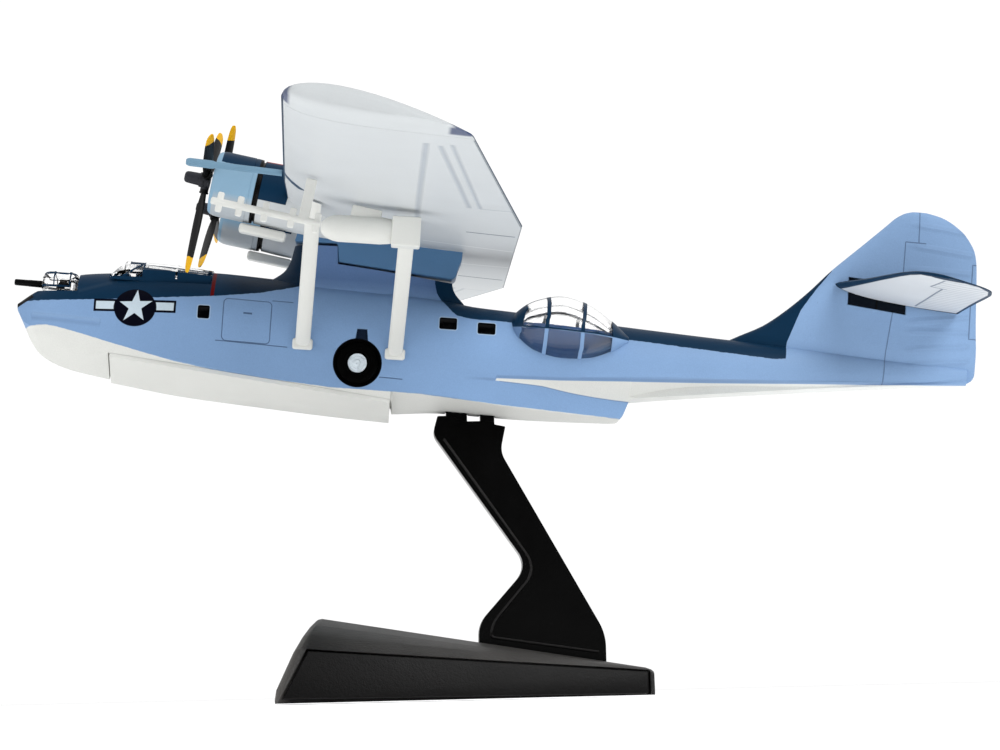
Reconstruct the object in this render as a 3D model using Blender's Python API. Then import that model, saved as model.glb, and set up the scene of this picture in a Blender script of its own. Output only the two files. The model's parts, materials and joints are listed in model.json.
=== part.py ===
"""Display model of a twin-engined patrol flying boat on its desk stand, 1:150 size.

The aircraft flies with its wheels and tip floats retracted. World frame: +X towards the
tail, -Y port, +Z up, origin on the underside of the stand's base. Sizes are millimetres.
"""
import math

import bmesh
import bpy
from mathutils import Matrix, Vector

MM = 0.001
GAP = 0.3

# Attitude of the aircraft on the stand
NOSE_UP = math.radians(4.8)
CRAFT_ORIGIN = (1.43, 0.0, 38.21)
WING_INCIDENCE = math.radians(8.8)
WING_ORIGIN = (-26.0, 0.0, 26.2)

# Hull lines: (distance aft, height or half width)
# The keel and the chine break at the insert's ends and at the second step
KEEL_LINES = (((-61.7, 10.3), (-60.5, 8.0), (-59.7, 6.4), (-58.2, 4.5), (-54.8, 2.9), (-48.9, 1.8)),
              ((-48.6, 4.8), (-10.9, 0.8)),
              ((-10.6, -0.6), (-4.0, -0.1), (6.5, -0.3), (20.4, 0.0)),
              ((20.9, 2.9), (25.5, 3.5), (47.1, 6.0), (66.8, 8.1)))
CHINE_LINES = (((-61.7, 10.7), (-60.5, 8.6), (-59.0, 8.0), (-57.6, 8.1), (-53.5, 7.4),
                (-48.8, 6.3), (-40.0, 4.3), (-28.4, 2.7), (-19.0, 1.9), (-7.0, 1.8),
                (4.1, 1.0), (14.1, 0.6), (20.4, 0.5)),
               ((20.9, 3.3), (47.1, 6.4), (66.8, 8.4)))
CHINE_BEAM = ((-61.7, 0.8), (-60.5, 2.5), (-58.0, 4.8), (-53.5, 6.8), (-48.8, 8.0),
              (-40.0, 9.1), (-28.4, 9.8), (-19.0, 10.1), (-10.7, 9.9), (4.1, 7.8),
              (14.1, 5.4), (20.4, 3.9), (20.9, 3.6), (47.1, 1.9), (66.8, 0.7))
LEDGE_IN_LINE = ((-5.0, 4.9), (3.2, 4.7), (11.5, 3.8), (20.9, 3.5), (47.1, 6.7), (66.8, 8.7))
LEDGE_OUT_LINE = ((-5.0, 5.2), (3.2, 5.0), (26.0, 6.3), (55.5, 7.7), (66.8, 9.0))
WIDE_BEAM = ((-61.7, 0.9), (-60.5, 2.4), (-58.0, 4.2), (-53.5, 6.0), (-48.8, 7.4),
             (-40.0, 8.9), (-30.0, 9.8), (-20.0, 10.2), (-8.0, 10.2), (0.0, 9.8),
             (10.0, 8.8), (21.0, 7.0), (31.0, 5.4), (47.0, 3.4), (60.0, 1.9), (66.8, 1.1))
DECK_LINE = ((-61.7, 11.2), (-59.4, 12.9), (-56.0, 14.6), (-53.2, 15.6), (-49.6, 16.0),
             (-35.4, 16.9), (-28.2, 16.6), (-3.3, 15.4), (5.1, 14.2), (20.2, 13.1),
             (31.8, 12.4), (47.0, 11.6), (66.8, 10.4))
HULL_STATIONS = (-61.7, -61.2, -60.5, -59.7, -58.9, -58.2, -57.2, -56.4, -54.8, -53.2,
                 -51.5, -48.9, -48.6, -46.3, -44.0, -41.8, -40.0, -37.0, -34.0, -31.0,
                 -28.4, -23.5, -19.0, -15.0, -10.9, -10.6, -7.3, -4.0, -0.4, 3.2, 7.2,
                 11.5, 14.3, 17.0, 20.4, 20.9, 23.4, 26.0, 31.8, 39.0, 47.0, 57.0, 66.8)
DECK_ARC_STEPS = 8
KEEL_INSERT_SPAN = (-48.3, -10.9)
STEP_KEEL_LINE = ((-48.9, 1.8), (-39.3, 0.1), (-28.4, -0.8), (-17.5, -1.5), (-10.7, -1.8))

# Pylon under the wing, as (height, leading edge, trailing edge, half width)
PYLON_LEVELS = ((12.0, -30.6, 1.6, 5.6), (15.6, -29.6, -0.6, 5.2), (16.1, -28.6, -1.2, 4.9),
                (16.7, -27.6, -1.9, 4.6), (17.1, -26.9, -2.6, 4.4), (17.6, -26.4, -3.4, 4.2),
                (18.4, -25.8, -3.5, 4.0), (19.4, -25.4, -3.5, 3.9), (21.3, -25.0, -3.5, 3.8))
PYLON_BLOCK = ((-25.0, 21.6), (-19.2, 21.7), (-19.0, 19.2), (-3.5, 17.8), (-2.4, 20.2),
               (-2.3, 22.4), (-6.0, 24.6), (-24.0, 25.6))
PYLON_HALF_WIDTH = 3.8
FIN_NOSE = 0.2

# Fin and rudder, as (height, leading edge, trailing edge, half thickness)
FIN_LEVELS = ((8.2, 45.0, 66.6, 0.6), (8.8, 32.0, 67.5, 0.9), (9.6, 30.0, 67.85, 1.1),
              (12.6, 35.0, 67.9, 1.5), (14.5, 38.8, 67.8, 1.5), (16.5, 41.5, 67.7, 1.45),
              (19.5, 44.8, 67.6, 1.38), (22.6, 47.75, 67.5, 1.3), (24.5, 49.8, 67.4, 1.22),
              (26.3, 51.8, 67.05, 1.15), (27.6, 53.2, 66.35, 1.08), (28.7, 54.4, 65.5, 1.0),
              (29.6, 55.35, 64.4, 0.92), (30.25, 56.05, 63.4, 0.84), (30.75, 56.8, 62.3, 0.74),
              (31.05, 57.4, 61.2, 0.62), (31.25, 58.2, 60.3, 0.46))

# Wing in its own axes: x along the chord from the leading edge, y out along the span
CHORD_ROOT = 30.8
CHORD_TIP = 21.3
KINK_Y = 38.6
TIP_Y = 105.0
WING_END_Y = 99.8
TIP_SWEEP = 0.9
TIP_RISE = 1.6
THICKNESS = 0.17
CAMBER = 0.02
FOIL_STEPS = (0.0, 0.006, 0.02, 0.05, 0.1, 0.18, 0.28, 0.4, 0.54, 0.68, 0.82, 0.92, 1.0)

# Tip floats in the wing's axes, as (out, front edge, back edge, part of the wing's thickness)
FLOAT_STATIONS = ((100.1, 0.83, 22.87, 1.0), (101.9, 1.0, 22.4, 0.95), (103.6, 1.3, 21.2, 0.86),
                  (104.9, 2.0, 20.2, 0.72), (105.6, 3.4, 19.0, 0.53), (105.9, 5.2, 17.3, 0.32))

# Engines, in the wing's axes
ENGINE_Y = 17.3
THRUST_Z = -0.45
COWL_FRONT = -9.8
COWL_BACK = -4.0
COWL_RADIUS = 4.3
COWL_MOUTH = 3.3
NACELLE_STATIONS = ((-3.5, 4.15, 4.15, -0.45), (0.0, 4.2, 4.25, -0.45), (6.0, 3.9, 3.9, -0.6),
                    (12.0, 3.0, 2.7, -0.9), (16.5, 1.4, 1.0, -1.0))
PROP_RADIUS = 12.3
PROP_PLANE = -10.75
PROP_TURN = {"port": 8.0, "starboard": -44.0}
CYLINDERS = 7

# Struts: hull foot and wing top in the craft's axes, chord and thickness
STRUT_FEET = {"front": (-22.9, 7.3), "rear": (-10.6, 6.7)}
STRUT_TOP_X = {"front": 4.4, "rear": 16.6}
STRUT_TOP_Y = 36.0
STRUT_CHORD = 2.0
STRUT_THICK = 1.1

# Fittings under the wing: the aerials and the pitot boom in its axes, the stores in the craft's
ANTENNA_Y = 56.0
ANTENNA_Z = -6.95
ANTENNA_RODS = (-6.0, -3.5, -0.35, 3.0, 6.1)
STORE_Y = 43.0
STORE_NOSE = (-20.8, 19.4)
PITOT_Y = 44.0
PITOT_Z = -0.45
PITOT_DROOP = math.radians(5.5)

# Waist blisters, as (distance aft, bottom, top, outer half width)
BLISTER_STATIONS = ((4.5, 11.0, 12.1, 6.2), (5.6, 9.6, 13.8, 8.8), (8.0, 7.9, 15.5, 10.6),
                    (11.3, 7.4, 16.2, 11.5), (15.0, 7.6, 15.3, 11.2), (18.1, 8.8, 13.3, 9.4),
                    (20.4, 10.4, 11.4, 6.6))
BLISTER_RINGS = (4.5, 4.9, 5.6, 6.7, 8.0, 9.6, 11.3, 13.2, 15.0, 16.7, 18.1, 19.4, 20.4)
BLISTER_SIDES = 16
BLISTER_ROOT_Y = 4.1
BLISTER_WALL = 0.5

# Wheels stowed in the sides
WHEEL_CENTRE = (-15.5, 5.3)
TYRE_RADIUS = 2.86
HUB_RADIUS = 1.28
WHEEL_FACE_Y = 10.25
WHEEL_WELL_Y = 8.4

# Stabilizer in the craft's axes; its stations are (out, start and end as parts of the root
# chord, part of the root's thickness, rise), and its root block sits in a pocket of the fin
STAB_ROOT_LE = (48.2, 20.7)
STAB_ROOT_TE = (65.1, 17.8)
STAB_STATIONS = ((12.0, 0.175, 1.025, 0.88, 0.25), (20.0, 0.285, 1.055, 0.72, 0.45),
                 (24.0, 0.335, 1.062, 0.62, 0.5), (27.0, 0.385, 1.04, 0.52, 0.55),
                 (29.2, 0.45, 0.95, 0.42, 0.6), (30.5, 0.53, 0.82, 0.32, 0.6),
                 (31.0, 0.6, 0.71, 0.2, 0.6))
ROOT_BLOCK_X = (50.1, 57.9)
ROOT_BLOCK_Z = (17.2, 21.7)
ROOT_BLOCK_Y = (1.0, 1.45)

# Stand, in the world frame; the arm's corners are (x, z, how far back the rounding starts)
ARM_CORNERS = ((-3.0, 38.0, 0.2), (-3.7, 35.6, 1.0), (8.72, 17.55, 2.4), (1.95, 10.05, 1.6),
               (1.9, 7.9, 0.0), (18.9, 4.9, 0.0), (18.9, 8.3, 1.8), (5.35, 33.0, 1.2),
               (6.1, 36.4, 0.2), (4.66, 36.7, 0.0), (4.5, 37.2, 0.0), (0.8, 37.2, 0.0),
               (-1.7, 38.0, 0.0))
ARM_THICK = 5.0
ARM_PEGS = ((-1.83, 1.0, 39.7), (2.76, 4.66, 39.2))
PEG_THICK = 3.0
BASE_LENGTH = (-25.1, 24.8)
BASE_FRONT = ((22.6, 0.0), (22.4, 0.5), (21.9, 2.1), (20.3, 7.1), (17.4, 9.0), (13.5, 10.3), (9.0, 11.2))
BASE_BACK = ((11.2, 0.0), (11.1, 0.2), (10.95, 0.9), (10.4, 3.1), (9.4, 3.4), (7.5, 3.45), (5.0, 3.5))
BASE_FRONT_LEAN = (0.0, 0.0, 0.2, 2.4, 3.5, 4.4, 5.2)
BASE_BACK_LEAN = (0.0,) * 7
FACE_LEVELS = (1, 3)

# Nameplate: its corners as parts of the port face's length and height
PLATE_CORNERS = ((0.02, 0.02), (0.96, 0.02), (0.96, 0.97), (0.044, 0.97))
PLATE_THICK = 0.7

SIDES = {"port": -1.0, "starboard": 1.0}

WHITE = (0.75, 0.77, 0.76)
LIGHT_BLUE = (0.165, 0.29, 0.55)
DARK_BLUE = (0.015, 0.048, 0.1)
BLACK = (0.008, 0.008, 0.009)


def slopes(line):
    """Slope at each point, flat where the line turns, so a curve never passes its points."""
    steps = [(x1 - x0, (v1 - v0) / (x1 - x0)) for (x0, v0), (x1, v1) in zip(line, line[1:])]
    found = [steps[0][1]]
    for (gap0, rise0), (gap1, rise1) in zip(steps, steps[1:]):
        if rise0 * rise1 <= 0.0:
            found.append(0.0)
            continue
        weight0 = 2.0 * gap1 + gap0
        weight1 = gap1 + 2.0 * gap0
        found.append((weight0 + weight1) / (weight0 / rise0 + weight1 / rise1))
    return found + [steps[-1][1]]


def along(line, x):
    """Height at x of the smooth curve through a line's points, held flat past its ends."""
    if x <= line[0][0]:
        return line[0][1]
    if x >= line[-1][0]:
        return line[-1][1]
    slope = slopes(line)
    i = next(k for k in range(len(line) - 1) if x <= line[k + 1][0])
    (x0, v0), (x1, v1) = line[i], line[i + 1]
    span = x1 - x0
    t = (x - x0) / span
    rise = t * t * (3.0 - 2.0 * t)
    ease = span * (t * (1.0 - t) ** 2 * slope[i] - t * t * (1.0 - t) * slope[i + 1])
    return v0 + (v1 - v0) * rise + ease


def along_broken(lines, x):
    """The same for a line that breaks off and starts again."""
    for line in lines[:-1]:
        if x <= line[-1][0]:
            return along(line, x)
    return along(lines[-1], x)


def column(rows, index):
    """One column of a table as a line over its first column."""
    return [(row[0], row[index]) for row in rows]


def rounded(corners, steps=5):
    """Outline of (x, z) points with its corners rounded off."""
    outline = []
    for i, (x, z, reach) in enumerate(corners):
        corner = Vector((x, z))
        if reach == 0.0:
            outline.append((x, z))
            continue
        before = Vector(corners[i - 1][:2]) - corner
        after = Vector(corners[(i + 1) % len(corners)][:2]) - corner
        start = corner + before.normalized() * reach
        end = corner + after.normalized() * reach
        for k in range(steps + 1):
            t = k / steps
            outline.append(tuple(start * (1.0 - t) ** 2 + corner * 2.0 * t * (1.0 - t) + end * t * t))
    return outline


def clear_scene():
    for old in list(bpy.data.objects):
        bpy.data.objects.remove(old)


def new_collection(name):
    made = bpy.data.collections.new(name)
    bpy.context.scene.collection.children.link(made)
    return made


def new_axes(name, location, pitch, parent=None):
    """An empty whose X axis points aft, nose up by the pitch angle."""
    axes = bpy.data.objects.new(name, None)
    axes.location = Vector(location) * MM
    axes.rotation_euler = (0.0, pitch, 0.0)
    axes.parent = parent
    parts.objects.link(axes)
    return axes


def new_material(name, colour, roughness, metallic=0.0, alpha=1.0):
    made = bpy.data.materials.new(name)
    made.use_nodes = True
    shader = made.node_tree.nodes["Principled BSDF"]
    shader.inputs["Base Color"].default_value = (*colour, 1.0)
    shader.inputs["Roughness"].default_value = roughness
    shader.inputs["Metallic"].default_value = metallic
    shader.inputs["Alpha"].default_value = alpha
    return made


def new_object(name, bm, axes, colour=None, roughness=0.35, metallic=0.0, alpha=1.0, sharp=35.0):
    """Object from a bmesh in millimetres: a part if it has a colour, else a cutter."""
    bmesh.ops.recalc_face_normals(bm, faces=bm.faces)
    bmesh.ops.scale(bm, vec=(MM, MM, MM), verts=bm.verts)
    mesh = bpy.data.meshes.new(name)
    bm.to_mesh(mesh)
    bm.free()
    mesh.shade_smooth()
    mesh.set_sharp_from_angle(angle=math.radians(sharp))
    made = bpy.data.objects.new(name, mesh)
    made.parent = axes
    if colour is None:
        cutters.objects.link(made)
        made.hide_render = True
        made.display_type = "WIRE"
    else:
        parts.objects.link(made)
        mesh.materials.append(new_material(name, colour, roughness, metallic, alpha))
    return made


def boolean(target, other, operation):
    step = target.modifiers.new(operation.lower() + "_" + other.name, "BOOLEAN")
    step.operation = operation
    step.object = other
    step.solver = "EXACT"


def loft(rings, bm=None):
    """Skin over rings of equal length, each end closed by a fan about its centre."""
    bm = bm or bmesh.new()
    rows = [[bm.verts.new(point) for point in ring] for ring in rings]
    count = len(rows[0])
    for low, high in zip(rows, rows[1:]):
        for i in range(count):
            j = (i + 1) % count
            bm.faces.new((low[i], low[j], high[j], high[i]))
    for row in (rows[0], rows[-1]):
        centre = bm.verts.new(sum((v.co for v in row), Vector()) / count)
        for i in range(count):
            bm.faces.new((row[i], row[(i + 1) % count], centre))
    return bm


def mirrored(half):
    """Closed ring from points listed from the keel up one side to the top."""
    back = [(x, -y, z) for x, y, z in reversed(half) if abs(y) > 1e-6]
    return list(half) + back


def prism(outline, y0, y1):
    """Outline of (x, z) points, extruded across from y0 to y1."""
    rings = [[(x, y, z) for x, z in outline] for y in (y0, y1)]
    bm = bmesh.new()
    rows = [[bm.verts.new(point) for point in ring] for ring in rings]
    count = len(outline)
    for i in range(count):
        j = (i + 1) % count
        bm.faces.new((rows[0][i], rows[0][j], rows[1][j], rows[1][i]))
    for row in rows:
        bm.faces.new(row)
    return bm


def box(size, centre):
    bm = bmesh.new()
    bmesh.ops.create_cube(bm, size=1.0)
    bmesh.ops.scale(bm, vec=size, verts=bm.verts)
    bmesh.ops.translate(bm, vec=centre, verts=bm.verts)
    return bm


def turned(profile, centre, axis, sides=32):
    """Solid turned about X or Y: profile of (distance along the axis, radius)."""
    rings = []
    for reach, radius in profile:
        ring = []
        for i in range(sides):
            angle = 2.0 * math.pi * i / sides
            u = radius * math.cos(angle)
            v = radius * math.sin(angle)
            offset = (reach, u, v) if axis == "X" else (u, reach, v)
            ring.append(Vector(centre) + Vector(offset))
        rings.append(ring)
    return loft(rings)


def hull_ring(x):
    keel = along_broken(KEEL_LINES, x)
    chine_z = along_broken(CHINE_LINES, x)
    chine_y = along(CHINE_BEAM, x)
    wide_y = along(WIDE_BEAM, x)
    deck = along(DECK_LINE, x)
    in_insert = KEEL_INSERT_SPAN[0] - 0.35 <= x <= KEEL_INSERT_SPAN[1] + 0.05
    bilge = (chine_y - 0.7, keel) if in_insert else (0.55 * chine_y, keel + 0.45 * (chine_z - keel))
    if x < LEDGE_IN_LINE[0][0]:
        widest = chine_z + 0.42 * (deck - chine_z)
        inner = (chine_y + 0.3 * (wide_y - chine_y), chine_z + 0.3 * (widest - chine_z))
        outer = (chine_y + 0.7 * (wide_y - chine_y), chine_z + 0.7 * (widest - chine_z))
    else:
        inner_z = along(LEDGE_IN_LINE, x)
        outer_z = along(LEDGE_OUT_LINE, x)
        widest = outer_z + 0.25 * (deck - outer_z)
        outer = (0.95 * wide_y, outer_z)
        spread = min(1.0, max(0.0, (x - 3.2) / 15.0))
        inner_y = chine_y + (1.0 - spread) * 0.8 * (outer[0] - chine_y)
        inner = (inner_y, inner_z)
    half = [(x, 0.0, keel), (x, *bilge), (x, chine_y, chine_z), (x, *inner), (x, *outer)]
    for i in range(DECK_ARC_STEPS + 1):
        angle = 0.5 * math.pi * i / DECK_ARC_STEPS
        y = wide_y * max(0.0, math.cos(angle)) ** 0.8
        z = widest + (deck - widest) * math.sin(angle) ** 0.95
        half.append((x, 0.0 if i == DECK_ARC_STEPS else y, z))
    return mirrored(half)


def level_ring(z, front, back, half_width, nose=0.16):
    """Streamlined outline at one height, round in front and thin behind."""
    length = back - front
    one_side = [(front + t * length, w * half_width, z) for t, w in level_half(nose)]
    return one_side + [(x, -y, z) for x, y, z in reversed(one_side[1:])]


def level_half(nose):
    return ((0.0, 0.0), (0.006, 0.25), (0.02, 0.45), (nose * 0.3, 0.7), (nose * 0.6, 0.85), (nose, 0.95),
            (nose * 1.6, 1.0), (0.55, 0.92), (0.78, 0.64), (1.0, 0.28))


def fin_half(x, z):
    """Half thickness of the fin at a place on its side."""
    front = along(column(FIN_LEVELS, 1), z)
    back = along(column(FIN_LEVELS, 2), z)
    share = min(1.0, max(0.0, (x - front) / (back - front)))
    return along(column(FIN_LEVELS, 3), z) * along(level_half(FIN_NOSE), share)


def foil(t):
    """Heights of the upper and lower surface at t of the chord, as parts of the chord."""
    shape = 0.2969 * math.sqrt(t) - 0.126 * t - 0.3516 * t ** 2 + 0.2843 * t ** 3 - 0.1015 * t ** 4
    thick = 5.0 * THICKNESS * shape + 0.004 * t
    bow = CAMBER * 4.0 * t * (1.0 - t)
    return bow + thick, bow - thick


def wing_place(y):
    """Chord, leading edge and rise of the wing at y."""
    out = max(0.0, (abs(y) - KINK_Y) / (TIP_Y - KINK_Y))
    return CHORD_ROOT + out * (CHORD_TIP - CHORD_ROOT), out * TIP_SWEEP, out * TIP_RISE


def wing_ring(y):
    chord, lead, rise = wing_place(y)
    upper = [(lead + t * chord, y, rise + foil(t)[0] * chord) for t in reversed(FOIL_STEPS)]
    lower = [(lead + t * chord, y, rise + foil(t)[1] * chord) for t in FOIL_STEPS[1:]]
    return upper + lower


def wing_lower(x, y):
    chord, lead, rise = wing_place(y)
    return rise + foil((x - lead) / chord)[1] * chord


def oval_ring(x, y, z, half_y, half_z, sides=20):
    ring = []
    for i in range(sides):
        angle = 2.0 * math.pi * i / sides
        ring.append((x, y + half_y * math.cos(angle), z + half_z * math.sin(angle)))
    return ring


def wing_to_craft(x, y, z):
    c = math.cos(WING_INCIDENCE)
    s = math.sin(WING_INCIDENCE)
    return Vector((WING_ORIGIN[0] + x * c + z * s, y, WING_ORIGIN[2] - x * s + z * c))


def make_hull():
    hull = new_object("hull", loft([hull_ring(x) for x in HULL_STATIONS]), craft, LIGHT_BLUE)
    pylon = loft([level_ring(z, a, b, w) for z, a, b, w in PYLON_LEVELS])
    pylon = new_object("pylon_form", pylon, craft)
    room = prism([(x, z - GAP) for x, z in PYLON_BLOCK[:4]] + [(2.0, 17.4), (2.0, 30.0), (-30.0, 30.0),
                                                              (-30.0, PYLON_BLOCK[0][1] - GAP)], -9.0, 9.0)
    room = new_object("pylon_block_room", room, craft)
    boolean(pylon, room, "DIFFERENCE")
    boolean(hull, pylon, "UNION")
    fin = loft([level_ring(z, a, b, w, FIN_NOSE) for z, a, b, w in FIN_LEVELS])
    boolean(hull, new_object("fin_form", fin, craft), "UNION")
    seat = box((14.2, 20.0, 6.0), (-42.5, 0.0, 14.8 + 3.0))
    boolean(hull, new_object("canopy_seat", seat, craft), "DIFFERENCE")
    seat = box((5.6, 8.0, 6.0), (-56.3, 0.0, 13.0 + 3.0))
    boolean(hull, new_object("turret_seat", seat, craft), "DIFFERENCE")
    for side, sign in SIDES.items():
        recess = blister_form(sign, BLISTER_ROOT_Y - GAP, GAP)
        boolean(hull, new_object("blister_recess_" + side, recess, craft), "DIFFERENCE")
        well = turned(((sign * WHEEL_WELL_Y, TYRE_RADIUS + GAP), (sign * 14.0, TYRE_RADIUS + GAP)),
                      (WHEEL_CENTRE[0], 0.0, WHEEL_CENTRE[1]), "Y")
        boolean(hull, new_object("wheel_well_" + side, well, craft), "DIFFERENCE")
        slot = box((1.5, 5.0, 3.0), (WHEEL_CENTRE[0] + 0.2, sign * 12.0, WHEEL_CENTRE[1] + 3.7))
        boolean(hull, new_object("leg_slot_" + side, slot, craft), "DIFFERENCE")
        pocket = root_block(sign, GAP)
        boolean(hull, new_object("root_pocket_" + side, pocket, craft), "DIFFERENCE")
    for i, (x0, x1, top) in enumerate(ARM_PEGS):
        socket = box((x1 - x0 + 2.0 * GAP, PEG_THICK + 2.0 * GAP, 4.0),
                     (0.5 * (x0 + x1), 0.0, top + GAP - 2.0))
        boolean(hull, new_object("peg_socket_%d" % i, socket, None), "DIFFERENCE")
    return hull


def root_block(sign, grow):
    """Block at the stabilizer's root; its pocket in the fin is grown all round."""
    inner = ROOT_BLOCK_Y[0] - grow
    outer = 3.0 if grow else ROOT_BLOCK_Y[1]
    size = (ROOT_BLOCK_X[1] - ROOT_BLOCK_X[0] + 2.0 * grow, outer - inner,
            ROOT_BLOCK_Z[1] - ROOT_BLOCK_Z[0] + 2.0 * grow)
    centre = (0.5 * sum(ROOT_BLOCK_X), sign * 0.5 * (inner + outer), 0.5 * sum(ROOT_BLOCK_Z))
    return box(size, centre)


def make_keel_insert():
    """Planing bottom ahead of the main step, a separate moulding under the forebody."""
    start, end = KEEL_INSERT_SPAN
    stations = [start + (end - start) * i / 6.0 for i in range(7)]
    rings = []
    for x in stations:
        top = along(KEEL_LINES[1], x) - GAP
        keel = along(STEP_KEEL_LINE, x)
        beam = along(CHINE_BEAM, x) - 0.5
        edge = top - 0.25
        half = [(x, 0.0, keel), (x, 0.5 * beam, keel + 0.42 * (edge - keel)), (x, beam, edge),
                (x, beam - 0.3, top), (x, 0.0, top)]
        rings.append(mirrored(half))
    new_object("keel_insert", loft(rings), craft, WHITE)


def blister_form(sign, root_y, grow):
    """Teardrop bulge on one side, flat at root_y, grown outwards all round."""
    rings = []
    for x in BLISTER_RINGS:
        low, high, out = (along(column(BLISTER_STATIONS, k), x) for k in (1, 2, 3))
        if x == BLISTER_RINGS[0]:
            x -= grow
        elif x == BLISTER_RINGS[-1]:
            x += grow
        middle = 0.5 * (low + high)
        half_z = max(0.2, 0.5 * (high - low) + grow)
        reach = out + grow - root_y
        ring = []
        for i in range(BLISTER_SIDES + 1):
            angle = math.pi * (i / BLISTER_SIDES - 0.5)
            ring.append((x, sign * (root_y + reach * max(0.0, math.cos(angle)) ** 0.8),
                         middle + half_z * math.sin(angle)))
        rings.append(ring)
    return loft(rings)


def make_blisters():
    for side, sign in SIDES.items():
        shell = new_object("blister_" + side, blister_form(sign, BLISTER_ROOT_Y, 0.0), craft,
                           (0.75, 0.8, 0.84), 0.05, 0.0, 0.35)
        inside = new_object("blister_inside_" + side, blister_form(sign, BLISTER_ROOT_Y - 1.0, -BLISTER_WALL),
                            craft)
        boolean(shell, inside, "DIFFERENCE")


def canopy_form(grow):
    """Cockpit roof with its raked windscreen; grow is negative for the inside."""
    floor = 14.8 + GAP if grow == 0.0 else 14.0
    stations = ((-49.3 - grow, 15.4, 15.6, 15.7, 5.0, 3.4), (-48.2, 15.9, 16.7, 16.9, 5.6, 3.7),
                (-47.2, 16.2, 17.4, 17.8, 5.9, 3.9), (-41.5, 16.5, 17.4, 17.8, 6.2, 4.1),
                (-35.8 + grow, 16.4, 17.1, 17.5, 6.3, 4.1))
    rings = []
    for x, side_z, edge_z, top_z, low_y, high_y in stations:
        half = [(x, 0.0, floor), (x, low_y + grow, floor), (x, low_y + grow, side_z + grow),
                (x, high_y + grow, edge_z + grow), (x, 0.0, top_z + grow)]
        rings.append(mirrored(half))
    return loft(rings)


def make_canopy():
    shell = new_object("cockpit_canopy", canopy_form(0.0), craft, (0.75, 0.8, 0.84), 0.05, 0.0, 0.35)
    boolean(shell, new_object("canopy_inside", canopy_form(-0.5), craft), "DIFFERENCE")


def turret_form(grow):
    floor = 13.0 + GAP if grow == 0.0 else 12.0
    levels = ((floor, 2.35, 2.6), (14.5, 2.35, 2.6), (15.35, 2.15, 2.2), (15.75, 1.7, 1.6))
    rings = []
    for z, half_x, half_y in levels:
        ring = []
        for i in range(20):
            angle = 2.0 * math.pi * i / 20
            c = math.cos(angle)
            s = math.sin(angle)
            ring.append((-56.3 + (half_x + grow) * math.copysign(abs(c) ** 0.6, c),
                         (half_y + grow) * math.copysign(abs(s) ** 0.6, s),
                         z if z == floor else z + grow))
        rings.append(ring)
    return loft(rings)


def make_turret():
    shell = new_object("bow_turret", turret_form(0.0), craft, (0.75, 0.8, 0.84), 0.05, 0.0, 0.35)
    boolean(shell, new_object("turret_inside", turret_form(-0.4), craft), "DIFFERENCE")
    gun = turned(((0.0, 0.22), (2.6, 0.28), (2.7, 0.36), (3.5, 0.36)), (0.0, 0.0, 0.0), "X", 12)
    bmesh.ops.translate(gun, vec=(-62.5, 0.0, 14.25), verts=gun.verts)
    new_object("bow_gun", gun, craft, BLACK, 0.4)


def make_wing():
    ys = (-WING_END_Y, -KINK_Y, KINK_Y, WING_END_Y)
    wing = new_object("wing", loft([wing_ring(y) for y in ys]), wing_axes, WHITE)
    block = new_object("pylon_block", prism(PYLON_BLOCK, -PYLON_HALF_WIDTH, PYLON_HALF_WIDTH), craft)
    boolean(wing, block, "UNION")
    for side, sign in SIDES.items():
        rings = [oval_ring(x, sign * ENGINE_Y, z, half_y, half_z) for x, half_y, half_z, z in NACELLE_STATIONS]
        boolean(wing, new_object("nacelle_" + side, loft(rings), wing_axes), "UNION")


def make_tip_floats():
    """Floats folded up to form the wing tips."""
    chord = wing_place(WING_END_Y)[0]
    for side, sign in SIDES.items():
        rings = []
        for y, front, back, thick in FLOAT_STATIONS:
            rise = wing_place(y)[2]
            upper = [(front + t * (back - front), sign * y, rise + foil(t)[0] * chord * thick)
                     for t in reversed(FOIL_STEPS)]
            lower = [(front + t * (back - front), sign * y, rise + foil(t)[1] * chord * thick)
                     for t in FOIL_STEPS[1:]]
            rings.append(upper + lower)
        new_object("tip_float_" + side, loft(rings), wing_axes, WHITE)


def make_engines():
    cowl_length = COWL_BACK - COWL_FRONT
    outer = ((0.0, COWL_MOUTH + 0.25), (0.1, COWL_MOUTH + 0.6), (0.5, COWL_RADIUS - 0.25),
             (1.3, COWL_RADIUS), (cowl_length, COWL_RADIUS - 0.05))
    inner = ((-1.0, COWL_MOUTH), (0.3, COWL_MOUTH), (0.9, COWL_RADIUS - 0.5),
             (cowl_length + 1.0, COWL_RADIUS - 0.5))
    for side, sign in SIDES.items():
        centre = (COWL_FRONT, sign * ENGINE_Y, THRUST_Z)
        cowl = new_object("cowling_" + side, turned(outer, centre, "X"), wing_axes, LIGHT_BLUE)
        bore = new_object("cowl_bore_" + side, turned(inner, centre, "X"), wing_axes)
        boolean(cowl, bore, "DIFFERENCE")
        case = turned(((-0.05, 0.45), (0.1, 0.6), (0.9, 0.7), (1.4, 1.3), (1.9, 1.6), (3.5, 1.6),
                       (3.6, 3.4), (cowl_length, 3.4)), centre, "X", 30)
        engine = new_object("engine_" + side, case, wing_axes, (0.03, 0.03, 0.032), 0.5, 0.6)
        for i in range(CYLINDERS):
            barrel = cylinder_form(centre, 2.0 * math.pi * (i + 0.5) / CYLINDERS)
            barrel = new_object("cylinder_%s_%d" % (side, i), barrel, wing_axes)
            boolean(engine, barrel, "UNION")
        scoop = box((6.2, 2.6, 1.2), (COWL_FRONT + 7.7, sign * ENGINE_Y, THRUST_Z - COWL_RADIUS - GAP - 0.5))
        bmesh.ops.bevel(scoop, geom=scoop.edges[:], offset=0.35, segments=2, affect="EDGES", profile=0.5)
        new_object("nacelle_scoop_" + side, scoop, wing_axes, WHITE)


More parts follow.
